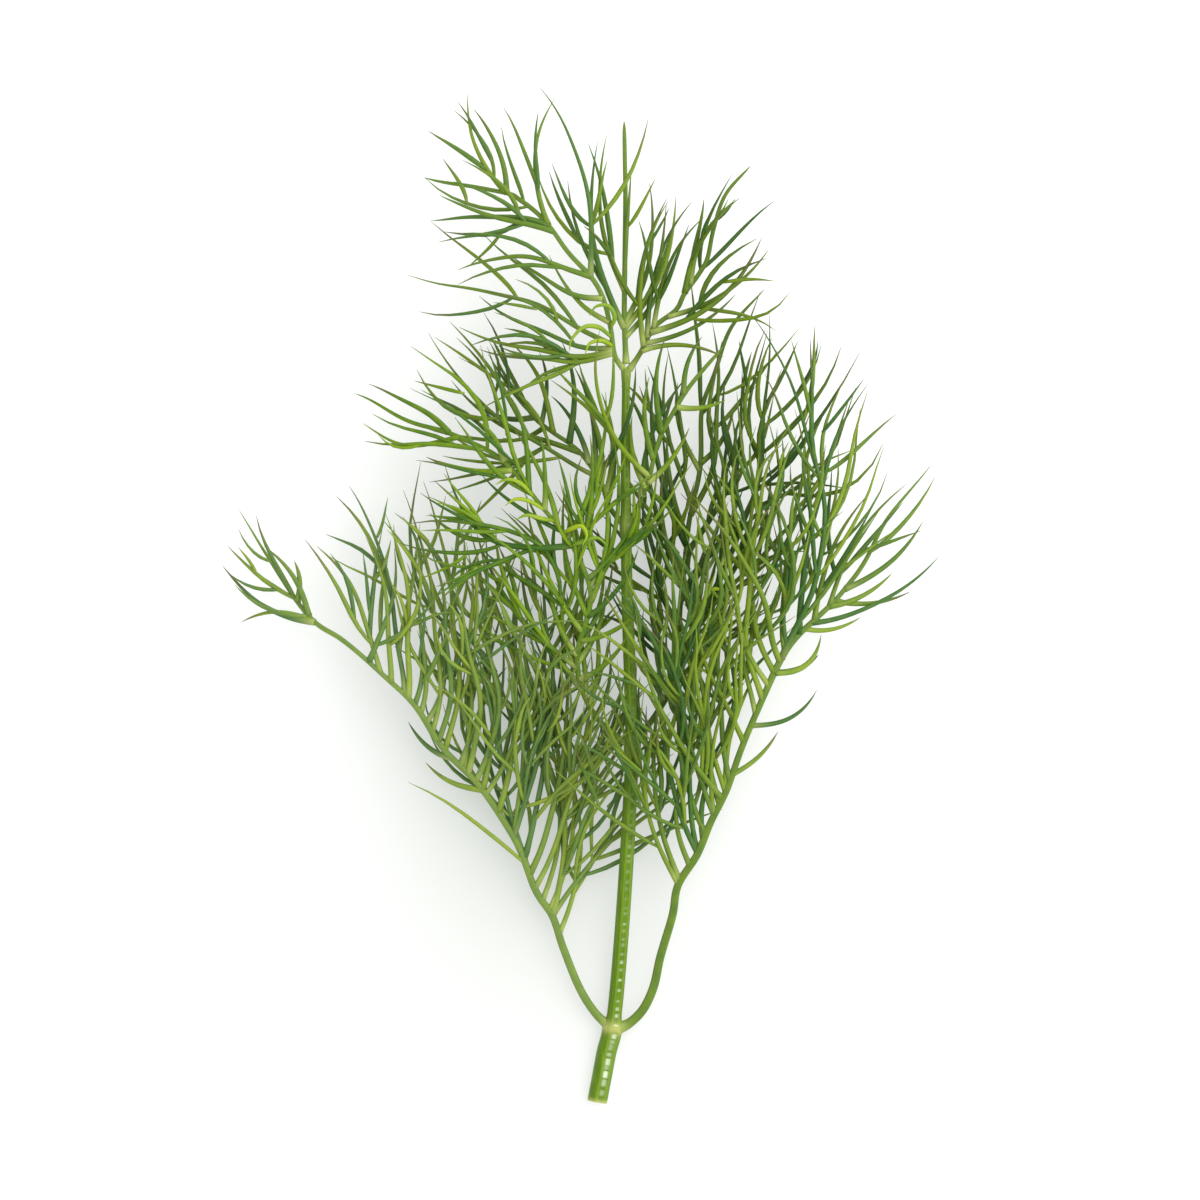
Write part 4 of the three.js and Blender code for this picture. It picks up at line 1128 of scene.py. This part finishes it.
def rib_surface(frond):
    """The stalk and rib: rings that narrow to the tip, with a shallow groove along the top between
    two ridges, and a wide clasping base."""
    t = np.linspace(0, 1, RIB_RINGS_PER_INTERVAL * frond.intervals)
    centres = frond.rib(t)
    distance = distances_along(centres)
    degrees = np.arange(RIB_SIDES) * 360 / RIB_SIDES
    groove = GROOVE_DEPTH * bell(degrees - GROOVE_AT, GROOVE_WIDTH)[None, :]
    radius = SEEN_RIB_SHARE * (frond.radius + t * (RIB_TIP_RADIUS - frond.radius))
    radius = radius * (1 + CLASP_SHARE * bell(distance, CLASP_REACH)) * (1 - RIB_TAPER * t**RIB_TAPER_POWER)
    points = rings_about(centres, radius[:, None] * (1 - groove), degrees)
    pale_line = PALE_LINE_SHARE * bell(degrees - PALE_LINE_AT, PALE_LINE_WIDTH)[None, :]
    marks = np.empty((len(t), RIB_SIDES, 4))
    marks[..., 0] = 0.3 * t[:, None]
    marks[..., 1] = RIB_TONE
    marks[..., 2] = np.maximum(bell(distance, PALE_BASE_REACH)[:, None], pale_line)
    marks[..., 3] = 0
    all_points = np.concatenate([points.reshape(-1, 3), centres[:1], centres[-1:]])
    all_marks = np.concatenate([marks.reshape(-1, 4), marks[0, :1], marks[-1, :1]])
    return all_points, ring_quads(len(t), RIB_SIDES), end_fans(len(t), RIB_SIDES), all_marks


def joined(surfaces):
    """Several surfaces as one: points and marks end to end, faces numbered on."""
    counts = [len(surface[0]) for surface in surfaces]
    firsts = np.cumsum([0] + counts[:-1])
    points, quads, fans, marks = zip(*surfaces)
    return (
        np.concatenate(points),
        np.concatenate([faces + first for faces, first in zip(quads, firsts)]),
        np.concatenate([faces + first for faces, first in zip(fans, firsts)]),
        np.concatenate(marks),
    )


# Each frond's greens, from the bluish ones to the yellowish
FROND_GREENS = {
    "lower_left": ((0.083, 0.175, 0.045), (0.235, 0.33, 0.036)),
    "lower_right": ((0.048, 0.13, 0.02), (0.185, 0.277, 0.018)),
    "second_left": ((0.042, 0.125, 0.01), (0.18, 0.3, 0.007)),
    "second_right": ((0.028, 0.085, 0.007), (0.115, 0.185, 0.005)),
    "third_left": ((0.037, 0.1, 0.013), (0.142, 0.217, 0.012)),
    "third_right": ((0.036, 0.11, 0.008), (0.15, 0.24, 0.004)),
    "fourth_left": ((0.075, 0.165, 0.03), (0.17, 0.26, 0.016)),
    "fourth_right": ((0.03, 0.09, 0.005), (0.125, 0.195, 0.004)),
    "top_frond": ((0.065, 0.15, 0.02), (0.165, 0.255, 0.012)),
}


MOTTLE_SCALE = 420
MOTTLE_SPREAD = 0.9
DRIED_FROM = 0.62
DRIED_COLOUR = (0.13, 0.085, 0.045, 1)
BASE_COLOUR, BASE_STRENGTH = (0.46, 0.52, 0.16, 1), 0.6


def frond_material(name, bluish, yellowish):
    """Soft satin skin: each strand has a tone between two greens, mottled along its length, cream
    where it leaves what it grew from, and at the tip sometimes dried to brown."""
    material, nodes, links, shader = new_material(name, 0.42, 0.22)
    along, strand_tone, paleness, tip_darkness = marks_of(nodes, links)
    place = nodes.new("ShaderNodeTexCoord")
    mottle = noise_on(nodes, links, place.outputs["Object"], MOTTLE_SCALE, 3)
    spread = nodes.new("ShaderNodeMath")
    spread.operation = "MULTIPLY_ADD"
    spread.inputs[1].default_value = MOTTLE_SPREAD
    spread.inputs[2].default_value = -MOTTLE_SPREAD / 2
    links.new(mottle, spread.inputs[0])
    tone = nodes.new("ShaderNodeMath")
    tone.operation = "ADD"
    tone.use_clamp = True
    links.new(strand_tone, tone.inputs[0])
    links.new(spread.outputs["Value"], tone.inputs[1])
    green = nodes.new("ShaderNodeMix")
    green.data_type = "RGBA"
    green.inputs["A"].default_value = (*bluish, 1)
    green.inputs["B"].default_value = (*yellowish, 1)
    links.new(tone.outputs["Value"], green.inputs["Factor"])

    tip = nodes.new("ShaderNodeMapRange")
    tip.inputs["From Min"].default_value = DRIED_FROM
    tip.inputs["From Max"].default_value = 1
    links.new(along, tip.inputs["Value"])
    dried = nodes.new("ShaderNodeMath")
    dried.operation = "MULTIPLY"
    links.new(tip.outputs["Result"], dried.inputs[0])
    links.new(tip_darkness, dried.inputs[1])
    colour = laid_over(nodes, links, green.outputs["Result"], DRIED_COLOUR, dried.outputs["Value"])
    colour = laid_over(nodes, links, colour, BASE_COLOUR, scaled(nodes, links, paleness, BASE_STRENGTH))
    links.new(colour, shader.inputs["Base Color"])
    make_translucent(shader, 0.15, (0.5, 1, 0.2), 0.6)
    return material


# How the strands differ: hooks by a spread round a middle, tones, dried tips, and cream bases, which
# all low sprays of a rib have
HOOK_MIDDLE, HOOK_SPREAD, HOOK_LIMITS = 0.8, 1, (-1, 2)
TONE_MIDDLE, TONE_SPREAD = 0.5, 0.38
DRY_TIPS, FRESH_TIP = (0.4, 1), 0.15
PALENESS_POWER = 3
LOW_SHARE = 0.36
RADIUS_SHARES = (0.88, 1.15)
# For each kind of strand: how far it hooks, how many tips are dry, and how far its cream base reaches
SPRAY_LOOK = (0.02, 0.2, 2.2)
BLADE_LOOK = (0.12, 0.35, 0.01)
FORK_LOOK = (0.13, 0.4, 0.01)


def strand_looks(bows, hook, dry_share, random):
    """Hooks, tones, tip darkness and paleness of some strands, drawn for each."""
    count = len(bows)
    turns = np.array([path.turn for path in bows])
    low_sprays = np.array([path.turn == 0 and path.share < LOW_SHARE for path in bows])
    hooks = np.clip(random.normal(HOOK_MIDDLE, HOOK_SPREAD, count), *HOOK_LIMITS) * hook * turns
    tones = np.clip(random.normal(TONE_MIDDLE, TONE_SPREAD, count), 0, 1)
    is_dry = random.uniform(0, 1, count) < dry_share
    tip_darkness = np.where(is_dry, random.uniform(*DRY_TIPS, count), FRESH_TIP)
    paleness = np.maximum(random.uniform(0, 1, count) ** PALENESS_POWER, low_sprays)
    return hooks, tones, tip_darkness, paleness


def build_frond(frond):
    """The rib, sprays, blades and forks of one frond in one mesh."""
    random = np.random.default_rng(frond.seed)
    blade_form = (BLADE_SIDES, BLADE_FLATNESS)
    groups = (
        (frond.sprays, SPRAY_RINGS, spray_profile, SPRAY_RADIUS, (SPRAY_SIDES, SPRAY_FLATNESS), SPRAY_LOOK),
        (frond.blades, BLADE_RINGS, swollen_profile, SEEN_BLADE_RADIUS, blade_form, BLADE_LOOK),
        (frond.forks, FORK_RINGS, swollen_profile, SEEN_FORK_RADIUS, blade_form, FORK_LOOK),
    )
    surfaces = [rib_surface(frond)]
    for bows, t, profile, radius, form, (hook, dry_share, pale_reach) in groups:
        radii = radius * random.uniform(*RADIUS_SHARES, len(bows))
        looks = strand_looks(bows, hook, dry_share, random)
        surfaces.append(strands(bows, t, profile, radii, *form, *looks, pale_reach))
    points, quads, fans, marks = joined(surfaces)
    points = np.clip(swayed(points), BOX_LOW, BOX_HIGH)
    material = frond_material(frond.name + "_skin", *FROND_GREENS[frond.name])
    return new_piece(frond.name + "_leaf", points, quads, fans, marks, material)


for frond in fronds:
    leaf = build_frond(frond)
    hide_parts(frond.name)
    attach(leaf, "root")


# Young curls
# A few short blades on the second left frond, by the fourth joint and on the right are younger:
# bright yellow-green, and curled over at their ends. They grow from the ribs and sprays there.
CURL_RADIUS = 0.42
CURL_RINGS = np.linspace(0, 1, 18)
CURL_SIDES = 8
CURL_SEED = 4
CURL_TONES = (0.1, 0.9)
CURL_GREENS = ((0.15, 0.28, 0.03), (0.34, 0.45, 0.015))
CURLS = [
    [(-6, 14.5, 15.7), (-8, 15.8, 16.8), (-10.3, 16, 17.2), (-12.2, 14.8, 17.2)],
    [(-4.5, 12.8, 15.4), (-6.5, 13.2, 16.8), (-8.8, 13.5, 17.2), (-10.8, 12.4, 17)],
    [(-3, 11, 15), (-1.5, 11.8, 16.5), (0.2, 12, 17.4), (1, 10.4, 17.6), (0.2, 8.8, 17.4)],
    [(-1.7, 9, 14.7), (0.5, 9.6, 16.5), (2.8, 9.8, 17.2), (4.4, 8.4, 17)],
    [(-7.5, 16.5, 15.8), (-9.2, 18.6, 17), (-11.5, 19.2, 17.4), (-13.6, 18.2, 17.2)],
    [(5, 43, 15), (3, 44.6, 16.5), (0.5, 44.8, 17.4), (-1.5, 43, 17.6), (-2, 41, 17.2)],
    [(5.3, 41.5, 14.8), (3.4, 42.4, 16.4), (1.4, 42, 17.2), (0.6, 40.2, 17.2)],
    [(4.9, 44.5, 15.2), (5.6, 46.2, 16.4), (4.6, 48, 17.2), (2.6, 48, 17.4), (1.4, 46.6, 17)],
    [(19.9, -2.5, 12), (20.4, -0.4, 12.8), (21.6, 0.9, 13.4), (23, 0.6, 13.6), (23.6, -0.8, 13.4)],
    [(17.2, -16, 10.2), (17.9, -13.6, 11.2), (19.4, -12.2, 12), (21, -12.6, 12.2), (21.7, -14.2, 12)],
]


def curl_surface(route, tone):
    """A round tube along a route, full in its middle and drawn out to a point."""
    centres = route_at(route, CURL_RINGS)
    degrees = np.arange(CURL_SIDES) * 360 / CURL_SIDES
    rings = rings_about(centres, CURL_RADIUS * swollen_profile(CURL_RINGS)[:, None], degrees)
    points = np.concatenate([rings.reshape(-1, 3), centres[:1], centres[-1:]])
    marks = np.zeros((len(points), 4))
    marks[:, 0] = np.concatenate([np.repeat(CURL_RINGS, CURL_SIDES), [0, 1]])
    marks[:, 1] = tone
    return points, ring_quads(len(CURL_RINGS), CURL_SIDES), end_fans(len(CURL_RINGS), CURL_SIDES), marks


curl_tones = np.random.default_rng(CURL_SEED).uniform(*CURL_TONES, len(CURLS))
curl_parts = joined([curl_surface(route, tone) for route, tone in zip(CURLS, curl_tones)])
curl_skin = frond_material("curl_skin", *CURL_GREENS)
curls = new_piece("young_curls", swayed(curl_parts[0]), *curl_parts[1:], curl_skin)
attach(curls, "root")
